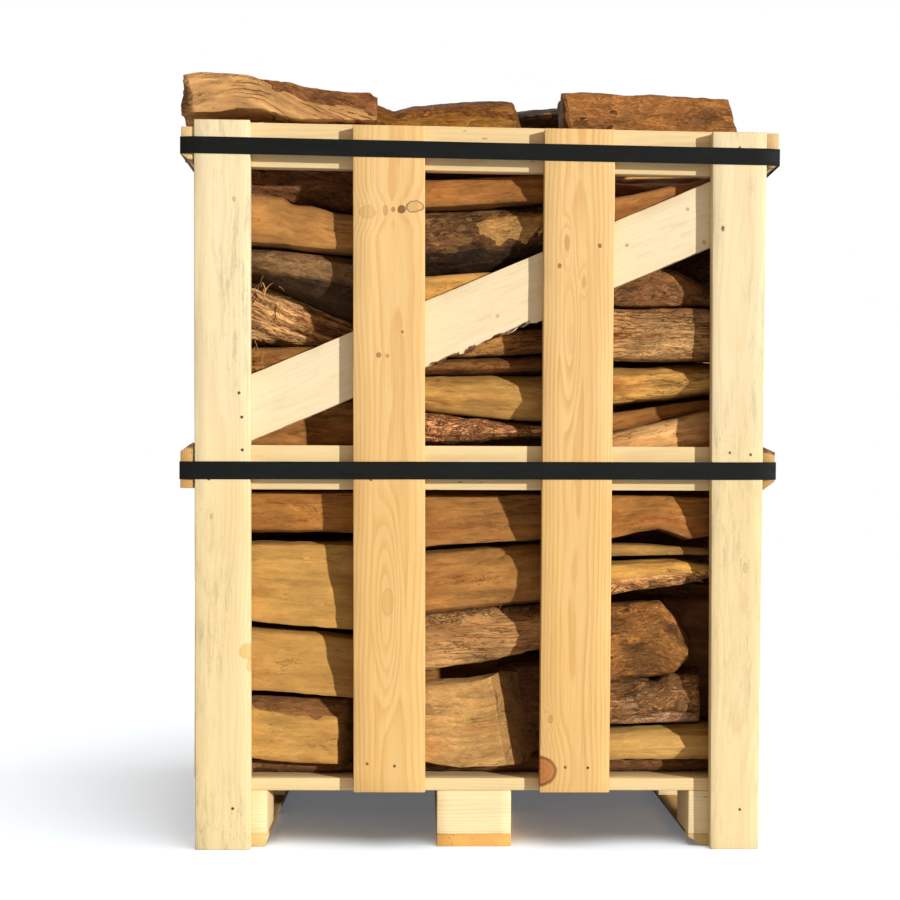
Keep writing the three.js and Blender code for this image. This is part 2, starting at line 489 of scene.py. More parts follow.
@dataclass(frozen=True)
class PineFinish:
    """Sawn pine with growth rings, knots, weather streaks and a barky edge where one is marked."""

    name: str
    early: Colour
    late: Colour
    ring: float = 0.0042
    contrast: float = 0.5
    mould: float = 0.0
    wander: float = 0.004
    sparse_knots: float = 0.25
    rough: float = 0.66
    knots: tuple[Knot, ...] = ()
    heart: Colour = (0.16, 0.062, 0.018)
    end_tint: float = 0.45
    foot_tint: float = 1.0
    inner_shade: bool = False

    def _reach(self, place: Value) -> list[tuple[Knot, Value, Value]]:
        """How far a place is from each knot, 1 at the knot's rim, and how much the knot pushes the rings."""
        wobble = place.noise((60.0, 0.0, 60.0), 3.0) - 0.45
        found = []
        for knot in self.knots:
            away = place.away_from((knot.x * MM, 0.0, knot.z * MM))
            wide, tall = 1.0 / (knot.wide * MM), 1.0 / (knot.tall * MM)
            far = away.stretched((wide, 0.0, tall)).length() + wobble * (knot.ragged * 3.0)
            near = away.stretched((wide, 0.0, tall / knot.stretch)).length().step(3.4, 0.3)
            found.append((knot, far, near * (0.007 * knot.swirl)))
        return found

    def _knotted(self, sheet: NodeSheet, colour: Value, reach: list[tuple[Knot, Value, Value]]) -> Value:
        """Lay the knots over the board's colour."""
        for knot, far, _ in reach:
            rings = (far * 17.0).sine().step(-1.0, 1.0, 0.0, 0.22)
            colour = sheet.mix(far.step(1.12, 0.95) * knot.dark, colour,
                               sheet.mix(rings, knot.tint, self.late))
            rim = abs(far - 1.02).step(0.2, 0.0) * (knot.dark * knot.rim)
            colour = sheet.mix(rim, colour, tuple(c * 0.4 for c in knot.tint))
        return colour

    def material(self) -> bpy.types.Material:
        """Make the finish's material."""
        sheet = NodeSheet(self.name)
        grain = sheet.attribute("grain")
        place = sheet.place()
        reach = self._reach(place)
        drift = grain.noise((2.6, 9.0, 9.0), 2.0)
        small = grain.noise((14.0, 60.0, 60.0), 2.0)
        radius = grain.stretched((0.0, 1.0, 1.0)).length() + drift * (self.wander * 6.0)
        radius = radius + small * (self.wander * 0.35) + sum((push for _, _, push in reach), 0.0)
        turn = (radius / self.ring).fract()
        line = turn.step(0.3, 0.88) * turn.step(1.0, 0.9)
        uneven = grain.noise((5.0, 60.0, 60.0), 2.0)
        share = line * uneven.step(0.25, 0.75, self.contrast * 0.35, self.contrast)
        colour = sheet.mix(share, self.early, self.late)
        colour = self._knotted(sheet, colour, reach)
        fibre = grain.noise((16.0, 1300.0, 1300.0), 3.0, 0.6)
        colour = colour.scaled(fibre.step(0.2, 0.8, 0.92, 1.06))
        thread = grain.noise((5.0, 330.0, 330.0), 3.0, 0.6).step(0.56, 0.72, 0.0, self.contrast * 0.75)
        colour = sheet.mix(thread, colour, self.late)
        broad = grain.noise((2.2, 16.0, 16.0), 3.0)
        colour = sheet.mix(broad.step(0.35, 0.8, 0.0, 0.3), colour, self.late)
        spots = grain.stretched((5.0, 17.0, 17.0)).patches(5.0)
        rare = 1.0 - self.sparse_knots
        chance = spots.out("Color").parts("Color").out(0).step(rare, rare + 0.02)
        spot = spots.out("Distance").step(0.16, 0.09) * chance
        colour = sheet.mix(spot * 0.55, colour, self.heart)
        streak = grain.noise((16.0, 95.0, 95.0), 5.0, 0.7)
        area = grain.noise((3.0, 12.0, 12.0), 2.0)
        mould = streak.step(0.46, 0.7) * area.step(0.32, 0.6, 0.0, self.mould)
        colour = sheet.mix(mould * 0.62, colour, (0.34, 0.29, 0.19))
        fleck = grain.noise((95.0, 420.0, 420.0), 2.0)
        fleck = fleck.step(0.62, 0.74) * area.step(0.38, 0.6, 0.0, self.mould * 0.5)
        colour = sheet.mix(fleck, colour, (0.30, 0.24, 0.14))
        # older and yellower towards the foot
        spot = place.parts("XYZ")
        foot = spot.out(2).step(0.8, 0.6, 0.0, self.foot_tint)
        colour = sheet.mix(foot, colour, colour.tinted((0.975, 0.94, 0.83)))
        # sawn ends are browner, with clearer rings
        end = sheet.attribute("end", "Fac")
        sawn = colour.tinted(sheet.mix(line * 0.5, (0.76, 0.6, 0.4), (0.5, 0.34, 0.2)))
        colour = sheet.mix(end * self.end_tint, colour, sawn)
        if self.inner_shade:
            # painted shade: the outer skids' inner sides are darkened away from their ends, where the crate
            # shades them
            under = abs(spot.out(1)).step(0.365, 0.33, 0.0, 0.8)
            inner = abs(spot.out(0)).step(0.4, 0.382)
            colour = sheet.mix(under * inner, colour, (0.09, 0.05, 0.018))
        bark = sheet.attribute("bark", "Fac")
        flake = grain.noise((120.0, 260.0, 260.0), 4.0, 0.7)
        rind = sheet.mix(flake.step(0.3, 0.7), (0.045, 0.018, 0.007), (0.26, 0.13, 0.055))
        colour = sheet.mix(bark.step(0.35, 0.6), colour, rind)
        saw = (grain.parts("XYZ").out(0) * 900.0).sine()
        rough = (fibre + streak).step(0.6, 1.4, self.rough + 0.1, self.rough - 0.08)
        height = fibre * 0.5 + line * 0.25 + saw * 0.05 + flake * bark * 3.0
        return sheet.finish(colour, rough, height, 0.00035, 0.3)


@dataclass(frozen=True)
class FirewoodFinish:
    """Split hardwood: torn fibres and streaks, cracked bark, ringed and checked ends."""

    name: str = "split_firewood"

    def material(self) -> bpy.types.Material:
        """Make the finish's material."""
        sheet = NodeSheet(self.name)
        grain = sheet.attribute("grain")
        tone = sheet.attribute("tone")
        rind_tone = sheet.attribute("bark_tone")
        bark = sheet.attribute("bark", "Fac")
        end = sheet.attribute("end", "Fac")
        string, wild, lines, flaky = (sheet.attribute(n, "Fac") for n in ("string", "wild", "lines",
                                                                          "flaky"))
        swing = sheet.node("ShaderNodeTexNoise",
                           {"Vector": grain.stretched((8.0, 24.0, 24.0)), "Detail": 2.0})
        swing = swing.out("Color").away_from((0.5, 0.5, 0.5))
        bent = grain.moved(swing.stretched((0.03, 0.012, 0.012)))
        # split faces
        broad = bent.noise((7.0, 24.0, 24.0), 3.0, 0.6)
        blotch = bent.noise((13.0, 42.0, 42.0), 5.0, 0.65)
        streak = bent.noise((7.0, 110.0, 110.0), 4.0, 0.6)
        fibre = bent.noise((24.0, 620.0, 620.0), 3.0, 0.65)
        radius = bent.stretched((0.0, 1.0, 1.0)).length()
        lively = (blotch.step(0.28, 0.72, 0.7, 1.32) * streak.step(0.25, 0.75, 0.8, 1.18)
                  * fibre.step(0.2, 0.8, 0.9, 1.08))
        wood = tone.scaled(lively ** wild)
        ruddy = wood.tinted((0.66, 0.46, 0.34))
        wood = sheet.mix(broad.step(0.48, 0.72, 0.0, 0.7).held(wild), wood, ruddy)
        golden = wood.tinted((1.16, 1.25, 1.4))
        wood = sheet.mix(broad.step(0.46, 0.28, 0.0, 0.55).held(wild), wood, golden)
        chips = bent.stretched((42.0, 150.0, 150.0)).patches()
        luck = chips.out("Color").parts("Color").out(0)
        chip = chips.out("Distance").step(0.24, 0.12) * wild
        # pale chips: light splinters, partly painted glints
        bright = chip * luck.step(0.86, 0.9)
        dark = chip * luck.step(0.12, 0.08)
        wood = sheet.mix(bright.held(0.45), wood, tone.tinted((1.55, 1.7, 2.0)))
        wood = sheet.mix(dark.held(0.5), wood, tone.tinted((0.3, 0.2, 0.14)))
        # dark lines that run with the grain, more on torn wood
        torn = bent.noise((6.0, 120.0, 120.0), 3.0, 0.6)
        ridge = abs(torn - 0.5)
        patch = bent.noise((15.0, 26.0, 26.0), 3.0)
        width = sheet.math("MULTIPLY_ADD", string, 0.030, 0.008)
        seam = sheet.math("SUBTRACT", 1.0, ridge / width, clamp=True)
        reach = sheet.math("ADD", patch.step(0.52, 0.66), string * 0.9, clamp=True)
        seam = (seam * reach).held(wild)
        deep = grain.parts("XYZ").out(2)
        layer = grain.noise((9.0, 12.0, 30.0), 3.0)
        layer = sheet.math("MULTIPLY_ADD", deep, 105.0, layer * 4.0)
        layer = abs(layer.fract() - 0.5).step(0.13, 0.01) * patch.step(0.44, 0.56)
        seam = sheet.math("MAXIMUM", seam, layer * lines)
        wood = sheet.mix(seam * 0.8, wood, wood.tinted((0.24, 0.15, 0.1)))
        # bark
        swirl = bent.moved(swing.stretched((0.02, 0.03, 0.03)))
        coarse = swirl.noise((15.0, 40.0, 40.0), 6.0, 0.72)
        rib = swirl.noise((14.0, 130.0, 130.0), 4.0, 0.65)
        crack = swirl.stretched((24.0, 70.0, 70.0)).cells()
        fine = bent.noise((140.0, 420.0, 420.0), 4.0, 0.7)
        lively = (coarse.step(0.3, 0.7, 0.48, 1.6) * rib.step(0.3, 0.7, 0.68, 1.24)
                  * fine.step(0.3, 0.7, 0.8, 1.16))
        rind = rind_tone.scaled(lively ** wild)
        split = crack.step(0.045, 0.0) * coarse.step(0.5, 0.62, 0.05, 0.9)
        rind = sheet.mix(split * 0.8, rind, rind.tinted((0.2, 0.16, 0.13)))
        peel = swirl.noise((16.0, 62.0, 62.0), 4.0, 0.62)
        warts = bent.stretched((22.0, 34.0, 34.0)).patches()
        luck = warts.out("Color").parts("Color").out(1).step(0.45, 0.5)
        pit = warts.out("Distance").step(0.17, 0.08) * luck
        # pale rims round the warts, partly painted highlights
        lip = abs(warts.out("Distance") - 0.23).step(0.08, 0.0) * luck
        rind = sheet.mix(lip * 0.5, rind, rind.tinted((1.7, 1.75, 1.8)))
        rind = sheet.mix(pit * 0.85, rind, rind.tinted((0.2, 0.15, 0.12)))
        rind = sheet.mix(peel.step(0.64, 0.72, 0.0, 0.5), rind, tone.tinted((1.0, 0.95, 0.9)))
        # ends
        yearly = (radius * 1500.0).sine()
        face = tone.tinted((0.84, 0.78, 0.74)).scaled(yearly.step(-1.0, 1.0, 0.86, 1.08))
        face = face.scaled(blotch.step(0.3, 0.7, 0.72, 1.2))
        speck = grain.noise((500.0, 500.0, 500.0), 3.0, 0.7)
        face = face.scaled(speck.step(0.3, 0.7, 0.84, 1.12))
        saw = grain.noise((5.0, 7.0, 420.0), 2.0)
        face = face.scaled(saw.step(0.3, 0.7, 0.9, 1.06))
        parts = bent.parts("XYZ")
        turn = sheet.math("ARCTAN2", parts.out(2), parts.out(1))
        ray = sheet.node("ShaderNodeCombineXYZ", {0: turn * 1.7, 1: radius * 7.0, 2: tone}).out(0)
        check = abs(ray.noise(None, 2.0) - 0.5).step(0.012, 0.003) * patch.step(0.42, 0.56)
        face = sheet.mix(check * 0.45, face, (0.03, 0.014, 0.006))
        face = sheet.mix(bark.step(0.4, 0.7) * 0.9, face, rind)
        colour = sheet.mix(bark.step(0.35, 0.62), wood, rind)
        # loose flakes of bark and torn wood; the pale flakes are partly painted highlights
        chipped = swirl.stretched((40.0, 95.0, 95.0))
        flake = chipped.patches().out("Color").parts("Color").out(2)
        gap = chipped.cells().step(0.1, 0.02) * flaky
        pale = tone.tinted((1.2, 1.3, 1.45))
        colour = sheet.mix(flake.step(0.76, 0.86, 0.0, 0.75) * flaky, colour, pale)
        dark = flake.step(0.3, 0.12, 0.0, 0.5) * flaky
        dark = sheet.math("MAXIMUM", dark, gap * 0.75)
        colour = sheet.mix(dark, colour, colour.tinted((0.22, 0.15, 0.11)))
        colour = sheet.mix(end, colour, face)
        rough = (streak + fibre).step(0.6, 1.4, 0.92, 0.68)
        relief = fibre * 0.14 + streak * 0.55 + blotch - seam * 0.8
        skin = coarse * 1.8 + fine * 0.2 + rib * 0.7 + (lip - pit) * 0.5 - split * 0.5
        bark_share = bark.step(0.35, 0.62) * (1.0 - end)
        relief = sheet.node("ShaderNodeMix", {0: bark_share, 2: relief, 3: skin}, data_type="FLOAT").out(0)
        relief = relief + (flake - gap) * flaky
        cut = speck * 0.25 - check * 0.6 + saw * 0.4
        relief = sheet.node("ShaderNodeMix", {0: end, 2: relief, 3: cut}, data_type="FLOAT").out(0)
        return sheet.finish(colour, rough, relief, 0.0022, 0.22)


@dataclass(frozen=True)
class StrapFinish:
    """Black plastic strapping with a fine embossed pattern."""

    name: str = "strap_band"

    def material(self) -> bpy.types.Material:
        """Make the finish's material."""
        sheet = NodeSheet(self.name)
        place = sheet.place()
        spun = sheet.node("ShaderNodeMapping", {0: place, 2: (0.0, math.radians(45.0), 0.0)}).out(0)
        emboss = spun.stretched((420.0, 420.0, 420.0)).cells("F1")
        dust = place.noise((18.0, 18.0, 90.0), 4.0, 0.6)
        colour = sheet.mix(dust.step(0.45, 0.8, 0.0, 0.3), (0.0085, 0.0095, 0.009), (0.02, 0.021, 0.019))
        rough = dust.step(0.3, 0.7, 0.5, 0.68)
        return sheet.finish(colour, rough, 1.0 - emboss, 0.00012, 0.1)


@dataclass(frozen=True)
class SteelFinish:
    """Dull zinc steel with scuffs, for seals and nail heads."""

    name: str
    light: Colour
    dark: Colour

    def material(self) -> bpy.types.Material:
        """Make the finish's material."""
        sheet = NodeSheet(self.name)
        place = sheet.place()
        scuff = place.noise((600.0, 600.0, 600.0), 4.0, 0.7)
        blot = place.noise((90.0, 90.0, 90.0), 3.0, 0.6)
        colour = sheet.mix(blot.step(0.35, 0.7), self.light, self.dark)
        sheet.feed(sheet.shader.inputs["Metallic"], 0.85)
        rough = scuff.step(0.3, 0.7, 0.36, 0.6)
        return sheet.finish(colour, rough, scuff, 0.00015)


# ---- sawn timber -------------------------------------------------------------------------------


class Along(Enum):
    """The way a board's fibres run."""

    X = (1.0, 0.0, 0.0)
    Y = (0.0, 1.0, 0.0)
    Z = (0.0, 0.0, 1.0)
    BRACE = (0.9181, 0.0, 0.3963)
    BRACE_BACK = (0.9181, 0.0, -0.3963)


BRACE_HALF = 0.0537
THIN = 0.02
WANE_FROM = 0.5015


@dataclass
class SawnBoard:
    """One board, cut from its CAD node and given worn edges and slightly uneven faces."""

    node: str
    along: Along
    finish: PineFinish
    slot: str
    pith: float = 0.085
    cut_every: float = 0.035
    chip: float = 0.0007
    arris: float = 1.3
    ragged: tuple[float, float] | None = None
    wane: bool = False
    seed: int = 0

    def _shape(self) -> Piece:
        """Copy the CAD mesh, soften its edges and cut it into short lengths."""
        piece = new_copy(frame["nodes"][self.node], f"{self.node}_board")
        low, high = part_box(self.node)
        axis = Vector(self.along.value)
        centre = (low + high) / 2
        reach = sum(abs(a) * s for a, s in zip(axis, high - low)) / 2
        slanted = self.along in (Along.BRACE, Along.BRACE_BACK)
        shares = (-0.93, -0.84, -0.5, 0.0, 0.5) if slanted else (-0.5, 0.0, 0.5)
        widths = [Vector(v) for v in np.eye(3) if abs(Vector(v).dot(axis)) < 0.1]
        if slanted:
            widths = [Vector((-axis.z, 0.0, axis.x))]
        with edit_mode(piece):
            merge_faces(1.0)
            bpy.ops.mesh.bevel(offset=self.arris * MM, segments=2, affect="EDGES", clamp_overlap=True)
            steps = max(3, int(2 * reach / self.cut_every))
            cut_across(axis, (centre + axis * (-reach + 2 * reach * i / steps) for i in range(1, steps)))
            for side in widths:
                half = BRACE_HALF if slanted else abs(Vector(high - low).dot(side)) / 2
                if half >= THIN:
                    cut_across(side, (centre + side * half * share for share in shares))
        return piece

    def _wear(self, piece: Piece) -> None:
        """Store the grain, then move the vertices a little: cupped faces, chipped edges, bark."""
        places = points_of(piece)
        normals = normals_of(piece)
        low, high = (np.array(c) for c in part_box(self.node))
        axis = np.array(self.along.value)
        centre = (low + high) / 2
        offset = places - centre
        run = offset @ axis
        size = high - low
        thin = int(np.argmin(size))
        facing = np.eye(3)[thin]
        side = np.cross(axis, facing)
        rng = np.random.default_rng(self.seed)
        across = offset @ side + rng.uniform(-0.3, 0.3) * self.pith
        below = offset @ facing + self.pith * rng.choice((-1.0, 1.0))
        store(piece, "grain", np.stack([run + rng.uniform(0.0, 40.0), across, below], 1))
        bark = np.zeros(len(places))
        if self.wane:
            slanted = (np.abs(normals[:, 0]) > 0.15) & (np.abs(normals[:, 2]) > 0.15)
            out = np.abs(places[:, 0])
            arris = (out > out.max() - 0.003) & ((places[:, 2] > high[2] - 0.003) | (places[:, 2] < low[2]
                                                                                     + 0.003))
            bark = (slanted & (out > WANE_FROM) & ~arris).astype(float)
            # bark colour on one rim of each end face, the lower rim on top rails and the upper rim on middle
            # rails; on the top rails it is partly painted shadow of the strap
            rim = places[:, 2] < low[2] + 0.004 if "top" in self.node else places[:, 2] > high[2] - 0.004
            bark = np.where(rim & (np.abs(normals @ axis) > 0.3), 1.0, bark)
        edge = np.sum(np.abs(normals) > 0.25, axis=1) > 1
        bumps = noise(places / 0.017, self.seed) + 0.6 * noise(places / 0.006, self.seed + 7)
        push = 0.35 * noise(places / 0.16, self.seed + 3) * MM
        push += np.where(edge, -np.clip(bumps, 0.0, 1.4) * self.chip, 0.0)
        if self.wane:
            push += bark * noise(places / 0.012, self.seed + 5) * 1.6 * MM
        places = places + normals * push[:, None]
        if self.ragged:
            start, end = self.ragged
            inside = (places[:, 0] > start) & (places[:, 0] < end)
            drop = offset @ side
            lower = np.abs(drop - np.where(inside, drop, 0.0).min()) < 0.0032
            torn = inside & lower
            depth = 1.5 + 6.0 * noise(places / 0.013, 31) + 4.5 * noise(places / 0.005, 32)
            lift = np.where(torn, np.clip(depth, -4.5, 8.5), 0.0) * MM
            places = places + side * lift[:, None]
            bark = np.where(torn & (noise(places / 0.016, 33) > 0.05), 1.0, bark)
        store(piece, "bark", bark)
        store(piece, "end", np.clip(np.abs(normals @ axis) * 5.0 - 2.5, 0.0, 1.0))
        move_points(piece, places)

    def build(self) -> Piece:
        """Make the board and put it in the crate."""
        piece = self._shape()
        self._wear(piece)
        dress(piece, self.finish, 34.0)
        return hand_over(piece, self.slot, self.node)


class Finishes:
    """Makes each finish's material once and hands out the same one again."""

    _made: dict[str, bpy.types.Material] = {}

    @classmethod
    def of(cls, finish: object) -> bpy.types.Material:
        """The material of a finish."""
        if finish.name not in cls._made:
            cls._made[finish.name] = finish.material()
        return cls._made[finish.name]


PALE_EARLY = (0.72, 0.59, 0.365)
PALE_LATE = (0.64, 0.45, 0.21)
WARM_EARLY = (0.685, 0.45, 0.19)
WARM_LATE = (0.53, 0.265, 0.075)
FIREWOOD = FirewoodFinish()
PALE = PineFinish("pale_pine", PALE_EARLY, PALE_LATE, contrast=0.38, mould=0.45)
RAIL = PineFinish("rail_pine", (0.72, 0.535, 0.28), (0.60, 0.385, 0.16), contrast=0.45, mould=0.2,
                  foot_tint=0.1)
WARM = PineFinish("warm_pine", WARM_EARLY, WARM_LATE, ring=0.005, contrast=0.6, sparse_knots=0.3)
BLOCK = PineFinish("block_pine", (0.78, 0.635, 0.375), (0.66, 0.42, 0.16), contrast=0.4, sparse_knots=0.1,
                   foot_tint=0.1)
RAIL_BARKY = PineFinish("rail_pine_barky", (0.72, 0.545, 0.295), (0.60, 0.39, 0.165), contrast=0.45,
                        mould=0.2,
                        end_tint=1.0)
SKID = PineFinish("skid_pine", (0.72, 0.385, 0.095), (0.56, 0.25, 0.055), contrast=0.5, end_tint=0.0,
                  foot_tint=0.0)
# outer skids, with painted shade on their inner sides
SKID_INNER_SHADE = PineFinish("skid_pine_inner_shade", (0.70, 0.50, 0.22), (0.56, 0.33, 0.12), contrast=0.5,
                          end_tint=0.1,
                          inner_shade=True)
CORNER_LEFT = PineFinish(
    "pale_pine_corner_left", PALE_EARLY, PALE_LATE, contrast=0.34, mould=0.95, sparse_knots=0.0,
    knots=(Knot(-405, 349, 13, 14, 0.7, (0.60, 0.37, 0.10), 1.0, ragged=0.2, rim=0.12),
           Knot(-468, 585, 3, 5, 0.3),
           Knot(-430, 1135, 2.5, 4, 0.4), Knot(-400, 326, 5, 12, 0.5, (0.50, 0.28, 0.08), 0.5, rim=0.2)),
)
CORNER_RIGHT = PineFinish(
    "pale_pine_corner_right", PALE_EARLY, PALE_LATE, contrast=0.34, mould=0.75, sparse_knots=0.0,
    knots=(Knot(424, 1096, 3, 5, 0.7), Knot(470, 500, 4, 9, 0.25)),
)
UPRIGHT_LEFT = PineFinish(
    "warm_pine_upright_left", WARM_EARLY, WARM_LATE, ring=0.0046, wander=0.0028, contrast=0.55,
    sparse_knots=0.0,
    knots=(
        Knot(-117, 1127, 14, 10, 0.35, (0.34, 0.17, 0.05), 0.45, rim=2.6),
        Knot(-140, 1121, 6.5, 7, 0.95, (0.07, 0.025, 0.008), 0.2),
        Knot(-154, 1121, 3, 4, 0.7, swirl=0.1),
        Knot(-168, 1120, 4.5, 9, 0.45, (0.3, 0.14, 0.04), 0.2, rim=0.3),
        Knot(-199, 1116, 15, 11, 0.35, (0.46, 0.25, 0.085), 1.1, rim=0.45),
        Knot(-178, 868, 4, 4, 0.8, (0.24, 0.1, 0.03), 0.15),
        Knot(-163, 867, 3, 3, 0.6, (0.24, 0.1, 0.03), 0.1), Knot(-137, 909, 2.2, 3, 0.9, swirl=0.1),
        Knot(-160, 437, 10, 24, 0.32, (0.52, 0.27, 0.075), 3.0, stretch=3.0, ragged=0.12, rim=0.5),
    ),
)
UPRIGHT_RIGHT = PineFinish(
    "warm_pine_upright_right", WARM_EARLY, (0.52, 0.26, 0.07), ring=0.0044, wander=0.0026, contrast=0.6,
    sparse_knots=0.0,
    knots=(
        Knot(110, 139, 27, 24, 0.92, (0.40, 0.125, 0.035), 1.2, ragged=0.1),
        Knot(207, 1063, 3, 3.5, 0.95, swirl=0.15),
        Knot(150, 1068, 5, 14, 0.5, (0.38, 0.17, 0.05), 1.4, rim=0.2),
        Knot(137, 1027, 3, 4, 0.9, swirl=0.15),
        Knot(180, 1000, 3, 9, 0.3, (0.38, 0.18, 0.05)),
        Knot(158, 900, 7, 26, 0.16, (0.50, 0.26, 0.075), 2.0, stretch=2.6, rim=0.3),
        Knot(128, 232, 4, 7, 0.45, (0.34, 0.15, 0.05), 1.2),
    ),
)
BRACE_FINISH = PineFinish(
    "pale_pine_brace", (0.72, 0.585, 0.385), (0.66, 0.48, 0.24), contrast=0.28, mould=0.45,
    sparse_knots=0.0,
    knots=(Knot(258, 1068, 3, 3, 0.6), Knot(395, 1075, 3, 4, 0.6), Knot(365, 1133, 3, 3, 0.5),
           Knot(30, 941, 3, 3, 0.4)),
)


@dataclass
class Carpentry:
    """Every sawn board of the crate and its pallet."""

    boards: list[SawnBoard] = field(default_factory=list)

    def _panel(self) -> None:
        """The front and back panels, with the front's own figures in the wood."""
        special = {
            "front_corner_left": CORNER_LEFT, "front_corner_right": CORNER_RIGHT,
            "front_board_left": UPRIGHT_LEFT, "front_board_right": UPRIGHT_RIGHT,
            "front_brace": BRACE_FINISH,
        }
        for face in ("front", "back"):
            for part in ("corner_left", "corner_right", "board_left", "board_right"):
                node = f"{face}_{part}"
                warm = "board" in part
                finish = special.get(node, WARM if warm else PALE)
                slot = "warm_pine" if warm else "pale_pine"
                self.boards.append(SawnBoard(node, Along.Z, finish, slot, pith=0.07 if warm else 0.11))
            for part in ("rail_top", "rail_middle"):
                self.boards.append(SawnBoard(f"{face}_{part}", Along.X, RAIL, "pale_pine"))
            brace = SawnBoard(f"{face}_brace", Along.BRACE, special.get(f"{face}_brace", PALE), "pale_pine",
                              cut_every=0.008, chip=0.0009, ragged=(-0.097, 0.113))
            if face == "back":
                brace.along = Along.BRACE_BACK
                brace.cut_every, brace.ragged = 0.03, None
            self.boards.append(brace)

    def _sides(self) -> None:
        """The side panels, whose rails still carry some bark."""
        for face in ("left", "right"):
            for part in ("corner_front", "board_front", "board_back", "corner_back"):
                self.boards.append(SawnBoard(f"{face}_side_{part}", Along.Z, PALE, "pale_pine", pith=0.09))
            for part in ("rail_top", "rail_middle"):
                node = f"{face}_side_{part}"
                finish = RAIL if "top" in part else RAIL_BARKY
                self.boards.append(SawnBoard(node, Along.Y, finish, "pale_pine", wane=True, cut_every=0.02))

    def _pallet(self) -> None:
        """Deck boards, blocks and skids."""
        for i in range(1, 6):
            self.boards.append(SawnBoard(f"deck_board_{i}", Along.X, RAIL, "pale_pine"))
        for side in ("left", "middle", "right"):
            finish = SKID if side == "middle" else SKID_INNER_SHADE
            self.boards.append(SawnBoard(f"skid_{side}", Along.Y, finish, "skid_pine", chip=0.0014))
            for place in ("front", "centre", "back"):
                node = f"block_{side}_{place}"
                self.boards.append(SawnBoard(node, Along.X, BLOCK, "block_pine", pith=0.06, cut_every=0.02,
                                             chip=0.001))

    def build(self) -> None:
        """Make every board."""
        self._panel()
        self._sides()
        self._pallet()
        for number, board in enumerate(self.boards):
            board.seed = 11 + 5 * number
            board.build()


# ---- firewood ------------------------------------------------------------------------------------


class Section(Enum):
    """A log's outline seen from its end: depth from the front face, height, and bark share."""

    FLAT = ((0.0, 0.05, 0), (0.0, 0.95, 0), (0.10, 1.0, 0), (0.75, 0.97, 0.3), (1.0, 0.6, 1), (0.9, 0.1, 1),
            (0.1, 0.0, 0))
    ROUND = ((0.16, 0.08, 1), (0.03, 0.30, 1), (0.0, 0.52, 1), (0.05, 0.76, 1), (0.2, 0.95, 1),
             (0.45, 1.0, 1),
             (0.9, 0.9, 0), (1.0, 0.45, 0), (0.85, 0.05, 0), (0.45, 0.0, 1))
    UNDERCUT = ((0.5, 0.0, 1), (0.22, 0.16, 1), (0.06, 0.42, 1), (0.0, 0.62, 1), (0.04, 0.84, 1),
                (0.18, 0.97, 1),
                (0.5, 1.0, 1), (0.95, 0.9, 0), (1.0, 0.4, 0), (0.85, 0.04, 0))
    RIDGE = ((0.22, 0.02, 0), (0.0, 0.42, 0), (0.04, 0.72, 0), (0.28, 1.0, 0), (0.85, 0.95, 1),
             (1.0, 0.4, 1), (0.8, 0.0, 0))
    TOPPED = ((0.0, 0.04, 0), (0.0, 0.74, 0), (0.04, 0.80, 0), (0.34, 1.0, 0), (0.85, 0.96, 1),
              (1.0, 0.4, 1), (0.9, 0.0, 0))
    SLAB = ((0.05, 0.05, 0), (0.0, 0.4, 0), (0.0, 0.92, 0), (0.3, 1.0, 0), (1.0, 0.9, 1), (1.0, 0.15, 1),
            (0.3, 0.0, 1))
    BARK_FOOT = ((0.14, 0.0, 1), (0.06, 0.22, 1), (0.0, 0.44, 0.9), (0.0, 0.52, 0), (0.0, 0.92, 0),
                 (0.2, 1.0, 0),
                 (1.0, 0.9, 0), (0.9, 0.1, 1))
    LEANING = ((0.0, 0.05, 0), (0.05, 0.5, 0), (0.12, 0.95, 0), (0.3, 1.0, 0), (0.9, 0.93, 1),
               (1.0, 0.4, 1), (0.8, 0.0, 0))
    HALF = ((0.0, 0.0, 0), (0.06, 0.5, 0), (0.1, 0.96, 0), (0.25, 1.0, 0.4), (0.62, 0.92, 1),
            (0.9, 0.66, 1), (1.0, 0.3, 1),
            (0.92, 0.0, 0))


@dataclass(frozen=True)
class Wood:
    """A log's colours: split wood and bark."""

    split: Colour
    bark: Colour


